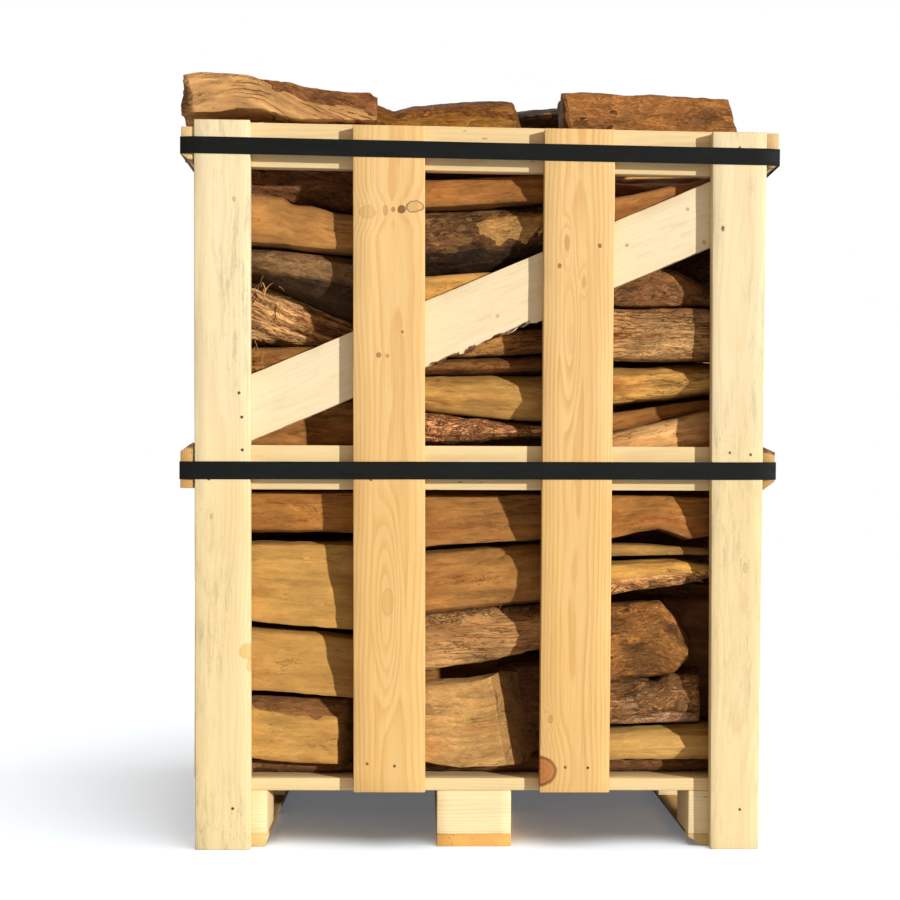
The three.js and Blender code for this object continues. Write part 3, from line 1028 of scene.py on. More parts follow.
class Woods(Enum):
    """The firewood's tones."""

    TAN = Wood((0.40, 0.18, 0.046), (0.25, 0.105, 0.032))
    AMBER = Wood((0.51, 0.262, 0.064), (0.28, 0.115, 0.034))
    GOLD = Wood((0.63, 0.315, 0.076), (0.29, 0.12, 0.035))
    PALE = Wood((0.64, 0.34, 0.122), (0.28, 0.12, 0.04))
    BUFF = Wood((0.515, 0.27, 0.083), (0.24, 0.095, 0.03))
    RUDDY = Wood((0.38, 0.152, 0.035), (0.25, 0.09, 0.024))
    TOAST = Wood((0.37, 0.15, 0.032), (0.23, 0.085, 0.022))
    PINK = Wood((0.46, 0.23, 0.076), (0.34, 0.135, 0.045))
    ORANGE = Wood((0.39, 0.158, 0.031), (0.22, 0.085, 0.022))
    GREY = Wood((0.36, 0.18, 0.065), (0.235, 0.118, 0.043))
    RUSSET = Wood((0.36, 0.16, 0.05), (0.245, 0.10, 0.031))
    DARK = Wood((0.20, 0.082, 0.024), (0.155, 0.062, 0.02))
    DARK_GOLD = Wood((0.50, 0.25, 0.070), (0.125, 0.052, 0.016))
    SOOT = Wood((0.25, 0.125, 0.045), (0.060, 0.036, 0.020))
    BROWN = Wood((0.36, 0.155, 0.037), (0.26, 0.105, 0.030))
    UMBER = Wood((0.25, 0.096, 0.022), (0.19, 0.07, 0.017))
    SIENNA = Wood((0.305, 0.122, 0.026), (0.24, 0.094, 0.021))
    MOSS = Wood((0.345, 0.145, 0.021), (0.19, 0.062, 0.012))
    CHESTNUT = Wood((0.42, 0.185, 0.052), (0.345, 0.132, 0.032))
    PURPLE = Wood((0.42, 0.22, 0.10), (0.275, 0.12, 0.036))
    STRAW = Wood((0.54, 0.278, 0.096), (0.41, 0.205, 0.08))
    BRIGHT = Wood((0.74, 0.385, 0.14), (0.48, 0.24, 0.10))
    SPLIT_PINK = Wood((0.49, 0.25, 0.085), (0.33, 0.135, 0.045))
    ROSY = Wood((0.74, 0.37, 0.13), (0.58, 0.235, 0.085))
    HONEY = Wood((0.69, 0.36, 0.08), (0.72, 0.32, 0.11))
    BUTTER = Wood((0.62, 0.35, 0.098), (0.29, 0.12, 0.035))
    CURLED = Wood((0.53, 0.265, 0.092), (0.265, 0.097, 0.029))


@dataclass
class SplitLog:
    """One split log, given by its edges seen from the front and how deep it lies.

    Lengths are millimetres. The low and high edges are heights at places along the log. Face is
    the y of the front face at the top and at the foot of the log.
    """

    section: Section
    wood: Woods
    low: tuple[Pair, ...]
    high: tuple[Pair, ...]
    face: Pair
    depth: float
    ends: Pair
    string: float = 0.0
    lumps: float = 1.0
    left_skew: float = 0.0
    right_skew: float = 0.0
    lean: Pair = (0.0, 0.0)
    flow: tuple[Pair, ...] = ()
    mirror: bool = False
    bare: float = 0.0
    cracks: float = 0.3
    patch: tuple[float, float, float, float] | None = None
    rind_above: tuple[Pair, ...] = ()
    damp: tuple[Pair, ...] = ()
    wild: float = 1.0
    lines: float = 0.0
    lines_from: float = -999.0
    flaky: float = 0.0
    flaky_above: tuple[Pair, ...] = ()
    flaky_below: tuple[Pair, ...] = ()
    grime: float = 0.4
    end_shade: float = 1.0
    left_nose: float = 0.0
    seed: int = 0


class LogMould:
    """Shapes logs from one cylinder with ringed caps."""

    def __init__(self, name: str, around: int, cuts: int) -> None:
        """Model the cylinder along X that every log starts from.

        Args:
            name: The mould's name.
            around: Sides round the cylinder.
            cuts: Cuts along its length.
        """
        deselect_all()
        bpy.ops.mesh.primitive_cylinder_add(vertices=around, radius=1.0, depth=1.0, end_fill_type="NGON",
                                            rotation=(0.0, math.pi / 2, 0.0))
        mould = bpy.context.object
        mould.name = name
        bpy.ops.object.transform_apply(location=True, rotation=True, scale=True)
        ends = [face.index for face in mould.data.polygons if len(face.vertices) > 4]
        with edit_mode(mould):
            bpy.ops.mesh.select_all(action="DESELECT")
            bpy.ops.mesh.select_mode(type="FACE")
            self._select(mould, ends)
            for inset in (0.05, 0.16, 0.20, 0.22):
                bpy.ops.mesh.inset(thickness=inset, use_boundary=True, use_individual=True)
            bpy.ops.mesh.poke()
            bpy.ops.mesh.select_mode(type="EDGE")
            bpy.ops.mesh.select_all(action="DESELECT")
            bpy.ops.object.mode_set(mode="OBJECT")
            verts = mould.data.vertices
            for edge in mould.data.edges:
                first, second = (verts[i].co.x for i in edge.vertices)
                edge.select = abs(first - second) > 0.5
            bpy.ops.object.mode_set(mode="EDIT")
            bpy.ops.mesh.subdivide(number_cuts=cuts)
            bpy.ops.mesh.select_mode(type="VERT")
        self.mould = mould
        places = points_of(mould)
        self.run = places[:, 0] + 0.5
        self.out = np.clip(np.hypot(places[:, 1], places[:, 2]), 0.0, 1.0)
        self.turn = (np.arctan2(places[:, 2], -places[:, 1]) / (2 * math.pi) + 1.0) % 1.0
        self.on_cap = (self.run < 1e-4) | (self.run > 1.0 - 1e-4)

    @staticmethod
    def _select(mould: Piece, faces: list[int]) -> None:
        """Select faces by index while in edit mode."""
        bpy.ops.object.mode_set(mode="OBJECT")
        for index in faces:
            mould.data.polygons[index].select = True
        bpy.ops.object.mode_set(mode="EDIT")

    def drop(self) -> None:
        """Remove the mould once its logs are made."""
        bpy.data.objects.remove(self.mould)

    def _outline(self, piece: SplitLog) -> tuple[np.ndarray, np.ndarray]:
        """Where each vertex's turn falls on the log's outline, and its bark share."""
        knots = np.array(piece.section.value, float)
        if piece.mirror:
            knots[:, 1] = 1.0 - knots[:, 1]
            knots = knots[::-1]
        loop = np.vstack([knots, knots[:1]])
        steps = np.hypot(np.diff(loop[:, 0]) * 1.1, np.diff(loop[:, 1]))
        shallow = (loop[:-1, 0] + loop[1:, 0]) / 2
        steps = steps * np.where(shallow < 0.3, 2.0, 1.0)
        marks = np.concatenate([[0.0], np.cumsum(steps)]) / steps.sum()
        fine = np.linspace(0.0, 1.0, 721)[:-1]
        curve = np.stack([np.interp(fine, marks, loop[:, k]) for k in range(3)], 1)
        window = np.hanning(19)
        window /= window.sum()
        pad = np.vstack([curve[-9:], curve, curve[:9]])
        curve = np.stack([np.convolve(pad[:, k], window, "valid") for k in range(3)], 1)
        curve = np.vstack([curve, curve[:1]])
        spots = np.linspace(0.0, 1.0, 721)
        found = np.stack([np.interp(self.turn, spots, curve[:, k]) for k in range(3)], 1)
        return found[:, :2], found[:, 2]

    def _bark(self, piece: SplitLog, bark: np.ndarray, raw: np.ndarray, ragged: np.ndarray) -> np.ndarray:
        """Bare some of the bark, or lay more, where the log's own marks say so."""
        x, _, z = raw.T
        bark = ramp(bark - piece.bare)
        if piece.patch:
            patch_x, patch_z, wide, tall = piece.patch
            inside = np.hypot((x - patch_x) / wide, (z - patch_z) / tall) + 0.04 * ragged
            inside += 0.18 * noise(raw / 8.0, piece.seed + 19)
            bark = np.where(inside < 1.0, bark * ramp(inside * 6.0 - 5.0), bark)
        if piece.rind_above:
            bark = np.maximum(bark, ramp((z + ragged - along(piece.rind_above, x)) / 5.0))
        return bark

    def _relief(self, piece: SplitLog, raw: np.ndarray, rise: np.ndarray, bark: np.ndarray) -> np.ndarray:
        """How far each vertex stands out in millimetres: fibres, grooves, torn layers and bark.

        Args:
            piece: The log's measurements.
            raw: The smooth log's vertices.
            rise: Each vertex's height above the run of the fibres.
            bark: The bark's share.

        Returns:
            The push outward.
        """
        x, y, _ = raw.T
        seed, wood = piece.seed, 1.0 - bark
        ridge, fine = rows(x / 80.0, y / 7.0, rise / 7.0), rows(x / 38.0, y / 3.4, rise / 3.4)
        lump, crust = rows(x / 26.0, y / 13.0, rise / 13.0), rows(x / 9.0, y / 5.0, rise / 5.0)
        torn = np.round(noise(ridge * 0.7, seed + 11) * 2.2) / 2.2
        groove = noise(rows(x / 120.0, y / 60.0, rise / 15.0), seed + 17)
        groove = np.exp(-(groove / 0.07) ** 2) * (noise(raw / 45.0, seed + 18) > 0.05)
        push = 3.2 * noise(rows(x / 95.0, y / 26.0, rise / 26.0), seed + 5)
        push += wood * (1.0 * noise(ridge, seed + 6) + 0.35 * noise(fine, seed + 7))
        push -= 3.0 * groove * piece.cracks
        push += wood * piece.string * (3.0 * torn + 0.9 * noise(fine * 1.2, seed + 8))
        push += bark * piece.lumps * (1.7 * noise(lump, seed + 9) + 0.7 * noise(crust, seed + 10))
        return np.where(self.on_cap & (self.out < 0.999), 0.0, push)

    def _cut_ends(self, piece: SplitLog, raw: np.ndarray, spot: np.ndarray) -> np.ndarray:
        """The x of each vertex once the ends are slanted and their rims torn."""
        at_left, at_right = ramp(1.0 - self.run * 6.0), ramp(self.run * 6.0 - 5.0)
        rough = 2.6 * noise(raw / 22.0, piece.seed + 13) + 1.1 * noise(raw / 6.0, piece.seed + 14)
        cut = spot[:, 0] * piece.depth
        x = raw[:, 0] + at_left * (piece.left_skew * cut + rough) + at_right * (piece.right_skew * cut
                                                                                + rough)
        x = x - at_left * piece.left_nose * ramp(cut / 13.0)
        return x + (at_left * piece.lean[0] + at_right * piece.lean[1]) * (spot[:, 1] - 0.5)

    def _shade(self, piece: SplitLog, raw: np.ndarray, edge: np.ndarray, ragged: np.ndarray) -> np.ndarray:
        """How light each vertex is: uneven, with painted shade along the top and bottom edges and below a
        marked line, and darker on the ends.
        """
        shade = 1.0 + 0.07 * noise(raw / 60.0, piece.seed + 15)
        # painted shade near each log's top and bottom edges, where its neighbours shade it
        shade = shade * (1.0 - piece.grime * (1.0 - edge * edge * (3.0 - 2.0 * edge)))
        # painted shade below a marked line, for lower faces that lie in shadow
        if piece.damp:
            shade = shade * (1.0 - 0.72 * ramp((along(piece.damp, raw[:, 0]) - raw[:, 2] + 0.6 * ragged)
                                               / 9.0))
        return np.where(self.on_cap, shade * piece.end_shade, shade)

    def _flakes(self, piece: SplitLog, raw: np.ndarray, ragged: np.ndarray) -> np.ndarray | float:
        """How flaky each vertex is."""
        if not piece.flaky_above:
            return piece.flaky
        x, _, z = raw.T
        above = ramp((z + ragged - along(piece.flaky_above, x)) / 8.0)
        under = along(piece.flaky_below, x) if piece.flaky_below else -1e3
        return piece.flaky * np.maximum(above, ramp((under - z) / 5.0))

    def cast(self, piece: SplitLog, name: str) -> Piece:
        """Shape one log.

        Args:
            piece: The log's measurements.
            name: The new object's name.

        Returns:
            The log, in place.
        """
        log_mesh = new_copy(self.mould, name)
        outline, bark = self._outline(piece)
        seed = piece.seed
        start, end = piece.ends
        x = start + (end - start) * self.run
        wave, choppy = rows(x / 70.0, 0.5, 0.5), rows(x / 17.0, 0.5, 0.5)
        low = along(piece.low, x) + 2.6 * noise(wave, seed + 1) + 1.1 * noise(choppy, seed + 21)
        high = along(piece.high, x) + 2.6 * noise(wave, seed + 2) + 1.1 * noise(choppy, seed + 22)
        middle = np.array([0.5, 0.5])
        spot = middle + (outline - middle) * self.out[:, None]
        tall = high - low
        top_face, foot_face = piece.face
        front = foot_face + (top_face - foot_face) * spot[:, 1]
        y = front + piece.depth * spot[:, 0] + 2.5 * noise(wave * 0.8, seed + 3)
        raw = rows(x, y, low + tall * spot[:, 1])
        # the pith lies behind the split corner, so that rings and fibres follow the log
        deep = y - (top_face + foot_face) / 2 - piece.depth * 0.6
        rise = raw[:, 2] - (low + high) / 2 - tall * 0.1
        if piece.flow:
            rise = rise - along(piece.flow, x)
        ragged = 9.0 * noise(raw / 19.0, seed + 16)
        bark = self._bark(piece, bark, raw, ragged)
        push = self._relief(piece, raw, rise, bark)
        outward = rows((outline[:, 0] - 0.5) * piece.depth, (outline[:, 1] - 0.5) * tall)
        outward /= np.maximum(np.linalg.norm(outward, axis=1), 1e-6)[:, None]
        y, z = raw[:, 1] + outward[:, 0] * push, raw[:, 2] + outward[:, 1] * push
        places = rows(self._cut_ends(piece, raw, spot), y, z)
        places[:, 1] = Fences.hold_back(places)
        move_points(log_mesh, places * MM)
        shade = self._shade(piece, raw, ramp(np.minimum(spot[:, 1], 1.0 - spot[:, 1]) * tall / 13.0),
                            ragged)
        # the tones carry the painted shade worked out in _shade
        marks = {
            "grain": rows(x * MM + (seed * 0.731) % 17.0, deep * MM, rise * MM),
            "tone": np.array(piece.wood.value.split) * shade[:, None],
            "bark_tone": np.array(piece.wood.value.bark) * shade[:, None],
            "bark": np.where(self.on_cap & (self.out < 0.97), 0.0, bark), "end": self.on_cap,
            "string": piece.string,
            "wild": piece.wild, "lines": piece.lines * ramp((x - piece.lines_from) / 30.0),
            "flaky": self._flakes(piece, raw, ragged),
        }
        for mark, values in marks.items():
            store(log_mesh, mark, values)
        dress(log_mesh, FIREWOOD)
        return log_mesh


class Fences:
    """Keeps logs behind the rails and braces, and between the uprights."""

    RAIL_BACK = 355.2
    DEEPEST = 376.8
    RAILS = ((1190.0, 1276.0), (630.0, 716.0))
    BRACE_LOW = 891.0
    BRACE_RISE = 117.0
    SLOPE = 0.4316

    @classmethod
    def hold_back(cls, places: np.ndarray) -> np.ndarray:
        """How far out each vertex may stay.

        Args:
            places: Vertex places in millimetres.

        Returns:
            The new y of each vertex.
        """
        x, y, z = places.T
        far = np.full(len(x), 99.0)
        for foot, head in cls.RAILS:
            far = np.minimum(far, np.maximum(np.maximum(foot - z, z - head), 0.0))
        for mirrored in (1.0, -1.0):
            face = (y < 0) if mirrored > 0 else (y > 0)
            line = cls.BRACE_LOW + cls.SLOPE * x * mirrored
            gap = np.maximum(np.maximum(line - z, z - line - cls.BRACE_RISE), 0.0) * 0.918
            far = np.where(face, np.minimum(far, gap), far)
        edge = cls.RAIL_BACK + np.clip((far - 3.0) * 1.3, 0.0, cls.DEEPEST - cls.RAIL_BACK)
        loose = z > 1277.0
        edge = np.where(loose, 395.0, edge)
        return np.clip(y, -edge, edge)


DECK_TOP, STACK_TOP, LEAST_RISE = 123.5, 1222.0, 50.0
INNER_FROM, ROW_DEPTH, INNER_ROWS = -258.0, 104.0, 5
BACK_ROW = (262.0, 362.0)


@dataclass
class LogColumn:
    """One column of stacked logs: its place and its front logs from the top down."""

    side: str
    ends: Pair
    front: tuple[SplitLog, ...]
    seed: int

    def _front_logs(self, mould: LogMould) -> list[Piece]:
        """Shape the measured logs of the front row."""
        made = []
        for number, piece in enumerate(self.front):
            piece.seed = self.seed + 17 * number
            made.append(mould.cast(piece, f"log_{self.side}_front_{number}"))
        return made

    def _filled(self, mould: LogMould, near: float, far: float, rng: np.random.Generator,
                tag: str) -> list[Piece]:
        """Stack one row of made-up logs from the deck to the top.

        Args:
            mould: The cylinder to shape.
            near: The row's front, y in millimetres.
            far: The row's back.
            rng: The row's random numbers.
            tag: A name for the row.

        Returns:
            The row's logs.
        """
        made = []
        left = right = DECK_TOP
        woods = (Woods.TAN, Woods.GOLD, Woods.PINK, Woods.GREY, Woods.BROWN, Woods.RUDDY, Woods.STRAW,
                 Woods.AMBER)
        # the row just behind the front logs gets dark woods: painted shade seen through the gaps between the
        # front logs
        if tag == "row0":
            woods = (Woods.DARK, Woods.UMBER, Woods.DARK, Woods.SIENNA)
        shapes = (Section.FLAT, Section.RIDGE, Section.ROUND, Section.TOPPED, Section.HALF, Section.LEANING)
        facing_back = far > 300.0
        while max(left, right) < STACK_TOP - LEAST_RISE:
            rise = float(rng.uniform(62.0, 128.0))
            twist = float(rng.uniform(-30.0, 30.0)) - (right - left) * 0.4
            rise_left, rise_right = max(rise - twist, 42.0), max(rise + twist, 42.0)
            if STACK_TOP - max(left + rise_left, right + rise_right) < LEAST_RISE:
                rise_left, rise_right = STACK_TOP - left, STACK_TOP - right
            start = self.ends[0] + float(rng.uniform(0.0, 22.0))
            end = self.ends[1] - float(rng.uniform(0.0, 22.0))
            half = (start + end) / 2 + float(rng.uniform(-60.0, 60.0))
            gap = float(rng.uniform(0.5, 2.5))
            sag = float(rng.uniform(0.0, 4.0))
            deep = (far - near) - float(rng.uniform(0.0, 6.0))
            face = far - float(rng.uniform(0.0, 16.0)) if facing_back else near + float(rng.uniform(0.0,
                                                                                                    5.0))
            low_half, high_half = (left + right) / 2 + gap, (left + right + rise_left + rise_right) / 2
            high_half += float(rng.uniform(-5.0, 7.0))
            piece = SplitLog(
                section=shapes[int(rng.integers(len(shapes)))], wood=woods[int(rng.integers(len(woods)))],
                low=((start, left + gap), (half, low_half + sag * 0.3), (end, right + gap)),
                high=((start, left + rise_left - sag), (half, high_half), (end, right + rise_right - sag)),
                face=(face, face), depth=-deep if facing_back else deep, ends=(start, end),
                string=float(rng.choice((0.0, 0.1, 0.6))), mirror=bool(rng.integers(2)),
                seed=int(rng.integers(9000)),
                wild=float(rng.uniform(0.6, 1.5)), lines=float(rng.choice((0.0, 0.0, 0.6))),
                flaky=float(rng.choice((0.0, 0.0, 0.0, 0.7))), cracks=float(rng.uniform(0.1, 1.0)),
            )
            made.append(mould.cast(piece, f"log_{self.side}_{tag}_{len(made)}"))
            left, right = left + rise_left, right + rise_right
        return made

    def build(self, fine: LogMould, medium: LogMould, coarse: LogMould) -> None:
        """Stack the column and hand over its front, back and inner logs."""
        rng = np.random.default_rng(self.seed)
        node = f"logs_{self.side}_column"
        front = join(self._front_logs(fine), f"front_logs_{self.side}")
        back = join(self._filled(medium, *BACK_ROW, rng, "back"), f"back_logs_{self.side}")
        rows = []
        inner_mould = coarse if self.side == "middle" else medium
        for row in range(INNER_ROWS):
            near = INNER_FROM + ROW_DEPTH * row
            rows += self._filled(inner_mould, near, near + ROW_DEPTH, rng, f"row{row}")
        inner = join(rows, f"inner_logs_{self.side}")
        for group in (front, back, inner):
            finish_log(group)
            hand_over(group, "split_firewood", node)


def finish_log(piece: Piece) -> None:
    """Turn a log mesh's faces outward and shade it."""
    with edit_mode(piece):
        bpy.ops.mesh.normals_make_consistent(inside=False)
    smooth_by_angle(piece, 42.0)


@dataclass(frozen=True)
class Bay:
    """An opening between two front uprights: its two sides, and where its logs end behind them."""

    sides: Pair
    ends: Pair

    def across(self, first: float, second: float) -> tuple[Pair, Pair]:
        """An edge's heights at the two sides of the bay."""
        return tuple(zip(self.sides, (first, second)))

    def log(self, section: Section, wood: Woods, low: Pair, high: Pair, face: Pair, depth: float = 100.0,
            ends: Pair | None = None, **more: object) -> SplitLog:
        """A front log from its edge heights at the two sides of the bay.

        Args:
            section: Its outline seen from the end.
            wood: Its colours.
            low: Heights of its lower edge.
            high: Heights of its upper edge.
            face: The y of its face at the top and at the foot.
            depth: How deep it reaches.
            ends: Where it ends, if not where the bay's other logs do.
            more: Anything else that a split log takes.

        Returns:
            The log's measurements.
        """
        return SplitLog(section, wood, self.across(*low), self.across(*high), face, depth,
                        ends or self.ends, **more)


LEFT = Bay((-403.0, -225.0), (-470.0, -166.0))
MIDDLE = Bay((-98.0, 110.0), (-154.0, 160.0))
RIGHT = Bay((235.0, 410.0), (176.0, 470.0))


def left_front() -> tuple[SplitLog, ...]:
    """The left bay's logs, from the top down."""
    bay = LEFT
    s, w = Section, Woods
    return (
        # the top log lies in the rail's shadow; its dark wood is partly painted shade
        bay.log(s.ROUND, w.DARK, (1155, 1125), (1218, 1220), (-316, -320), depth=80.0, wild=1.3),
        SplitLog(s.FLAT, w.TAN, bay.across(1061, 1050),
                 ((-403, 1155), (-348, 1148), (-334, 1137), (-298, 1133), (-255, 1121), (-225, 1119)),
                 (-370, -373), 100.0,
                 bay.ends, cracks=0.5, wild=0.8),
        bay.log(s.UNDERCUT, w.GREY, (1004, 930), (1059, 1049), (-366, -370), lumps=0.5, depth=120.0,
                wild=1.1,
                damp=((-403, 1024), (-320, 1012), (-225, 1000))),
        bay.log(s.RIDGE, w.BRIGHT, (899, 878), (1006, 936), (-332, -342), string=1.5, wild=1.2, lines=0.6,
                flow=((-403, 26), (-340, 12), (-225, 0)), flaky=0.35, grime=0.2),
        bay.log(s.FLAT, w.BROWN, (804, 812), (886, 888), (-345, -352), string=0.4, wild=1.3),
        bay.log(s.FLAT, w.RUDDY, (708, 710), (794, 795), (-320, -326)),
        bay.log(s.FLAT, w.ORANGE, (557, 556), (629, 630), (-350, -352), cracks=0.8, wild=0.7),
        bay.log(s.LEANING, w.AMBER, (394, 377), (540, 540), (-366, -375), depth=110.0, cracks=0.2,
                wild=0.6),
        bay.log(s.LEANING, w.AMBER, (272, 259), (386, 373), (-362, -375), cracks=0.3, wild=0.5),
        bay.log(s.TOPPED, w.AMBER, (150, 140), (265, 255), (-375, -375), ends=(-470.0, -246.0),
                right_skew=0.55, wild=0.7, rind_above=((-470, 244), (-320, 232), (-240, 226)),
                end_shade=0.7),
        # a dark log in the gap above the deck: painted shade where the gap lies in shadow
        bay.log(s.ROUND, w.DARK, (123, 123), (156, 150), (-344, -344), depth=60.0),
    )


def middle_front() -> tuple[SplitLog, ...]:
    """The middle bay's logs, from the top down."""
    bay = MIDDLE
    s, w = Section, Woods
    return (
        bay.log(s.LEANING, w.RUDDY, (1127, 1143), (1188, 1199), (-358, -374), wild=0.9),
        bay.log(s.UNDERCUT, w.DARK_GOLD, (1016, 1034), (1131, 1141), (-364, -375), lumps=1.2, depth=125.0,
                wild=1.5,
                patch=(60.0, 1101.0, 64.0, 30.0), flaky=0.35, damp=((-98, 1058), (10, 1066), (110, 1078))),
        bay.log(s.FLAT, w.GOLD, (966, 970), (1015, 1031), (-350, -354), wild=0.9),
        bay.log(s.FLAT, w.BROWN, (868, 879), (902, 926), (-340, -344), depth=80.0, string=0.5, wild=1.4,
                lines=0.6),
        bay.log(s.ROUND, w.UMBER, (838, 846), (868, 878), (-350, -354), depth=80.0, string=0.7, bare=0.5,
                wild=1.5),
        bay.log(s.RIDGE, w.AMBER, (773, 755), (839, 841), (-364, -374), cracks=0.6, wild=0.8),
        bay.log(s.ROUND, w.ROSY, (714, 729), (773, 753), (-364, -371), lumps=3.4, string=0.4, bare=0.2,
                wild=1.2, flaky=1.0),
        bay.log(s.LEANING, w.BROWN, (527, 544), (630, 631), (-346, -364), string=0.12, cracks=0.6,
                wild=0.8),
        bay.log(s.ROUND, w.BROWN, (406, 432), (525, 541), (-360, -373), lumps=0.8, bare=0.9, cracks=0.9,
                wild=1.0),
        bay.log(s.RIDGE, w.SPLIT_PINK, (306, 345), (410, 429), (-362, -376), string=0.35, cracks=1.2,
                wild=1.0, lines=0.45,
                flow=((-98, 14), (10, 0), (110, -12)), flaky=0.9,
                flaky_above=((-98, 384), (0, 400), (110, 410))),
        SplitLog(s.LEANING, w.BUFF, ((-98, 146), (-30, 133), (20, 134), (62, 146), (112, 158)),
                 ((-98, 291), (-20, 296), (6, 300), (70, 318), (112, 322)), (-362, -374), 95.0,
                 (-154.0, 34.0),
                 string=0.1, cracks=0.8, right_skew=1.15, lean=(0.0, -46.0), wild=1.0, flaky=0.2,
                 end_shade=0.75),
        # a dark log behind the slanted end of the log before it, and one in the gap above the deck: painted
        # shade in these recesses
        SplitLog(s.ROUND, w.DARK, ((40, 150), (160, 160)), ((40, 318), (160, 325)), (-318, -318), 60.0,
                 (40.0, 165.0)),
        bay.log(s.ROUND, w.DARK, (123, 123), (146, 160), (-340, -340), depth=60.0),
    )


def right_front() -> tuple[SplitLog, ...]:
    """The right bay's logs, from the top down."""
    bay = RIGHT
    s, w = Section, Woods
    return (
        bay.log(s.FLAT, w.RUDDY, (1040, 1100), (1160, 1196), (-352, -354), wild=0.8),
        SplitLog(s.ROUND, w.RUSSET, ((235, 959), (410, 961)),
                 ((235, 1023), (300, 1042), (350, 1038), (410, 1006)),
                 (-346, -376), 100.0, bay.ends, lumps=1.2, wild=1.2, string=0.3, flaky=0.4),
        bay.log(s.FLAT, w.STRAW, (864, 866), (957, 958), (-375, -375), string=0.6, cracks=1.0, wild=1.2,
                lines=0.8, flaky=0.3),
        bay.log(s.RIDGE, w.GOLD, (788, 810), (858, 860), (-362, -373), string=0.2, cracks=0.7, wild=1.2),
        bay.log(s.FLAT, w.RUDDY, (739, 780), (776, 800), (-326, -332), depth=80.0),
        bay.log(s.FLAT, w.PALE, (672, 698), (738, 782), (-353, -355), string=0.25),
        SplitLog(s.LEANING, w.TOAST, ((235, 546), (281, 560), (320, 565), (345, 556), (374, 544),
                                      (410, 552)),
                 ((235, 629), (410, 630)), (-362, -376), 100.0, bay.ends, cracks=0.6),
        bay.log(s.SLAB, w.AMBER, (518, 520), (541, 534), (-356, -366), depth=90.0, wild=0.7),
        SplitLog(s.BARK_FOOT, w.HONEY, ((235, 446), (395, 472), (410, 478)),
                 ((235, 507), (360, 513), (410, 505)),
                 (-368, -376), 90.0, bay.ends, lumps=2.4, wild=0.9, flaky=1.0,
                 flaky_above=((235, 700), (410, 700)), flaky_below=((235, 470), (395, 494), (410, 494))),
        SplitLog(s.ROUND, w.SIENNA, ((235, 286), (350, 300), (375, 330)),
                 ((235, 431), (330, 440), (352, 418), (376, 372)),
                 (-366, -375), 100.0, (176.0, 376.0), lumps=1.0, string=0.35, bare=0.3, cracks=0.8,
                 right_skew=0.2, wild=1.3),
        SplitLog(s.ROUND, w.PURPLE, ((235, 210), (410, 216)),
                 ((235, 290), (325, 296), (345, 312), (410, 310)),
                 (-366, -376), 100.0, (176.0, 398.0), lumps=2.2, right_skew=0.1,
                 patch=(330.0, 222.0, 95.0, 15.0), wild=1.3, flaky=0.6),
        bay.log(s.RIDGE, w.BUTTER, (148, 150), (204, 214), (-362, -373), wild=0.5),
        # a dark log behind the ends of the logs above, and one in the gap above the deck: painted shade in
        # these recesses
        SplitLog(s.FLAT, w.DARK, ((370, 215), (470, 215)), ((370, 440), (470, 440)), (-296, -296), 42.0,
                 (340.0, 470.0)),
        bay.log(s.ROUND, w.DARK, (123, 123), (158, 160), (-340, -340), depth=60.0),
    )


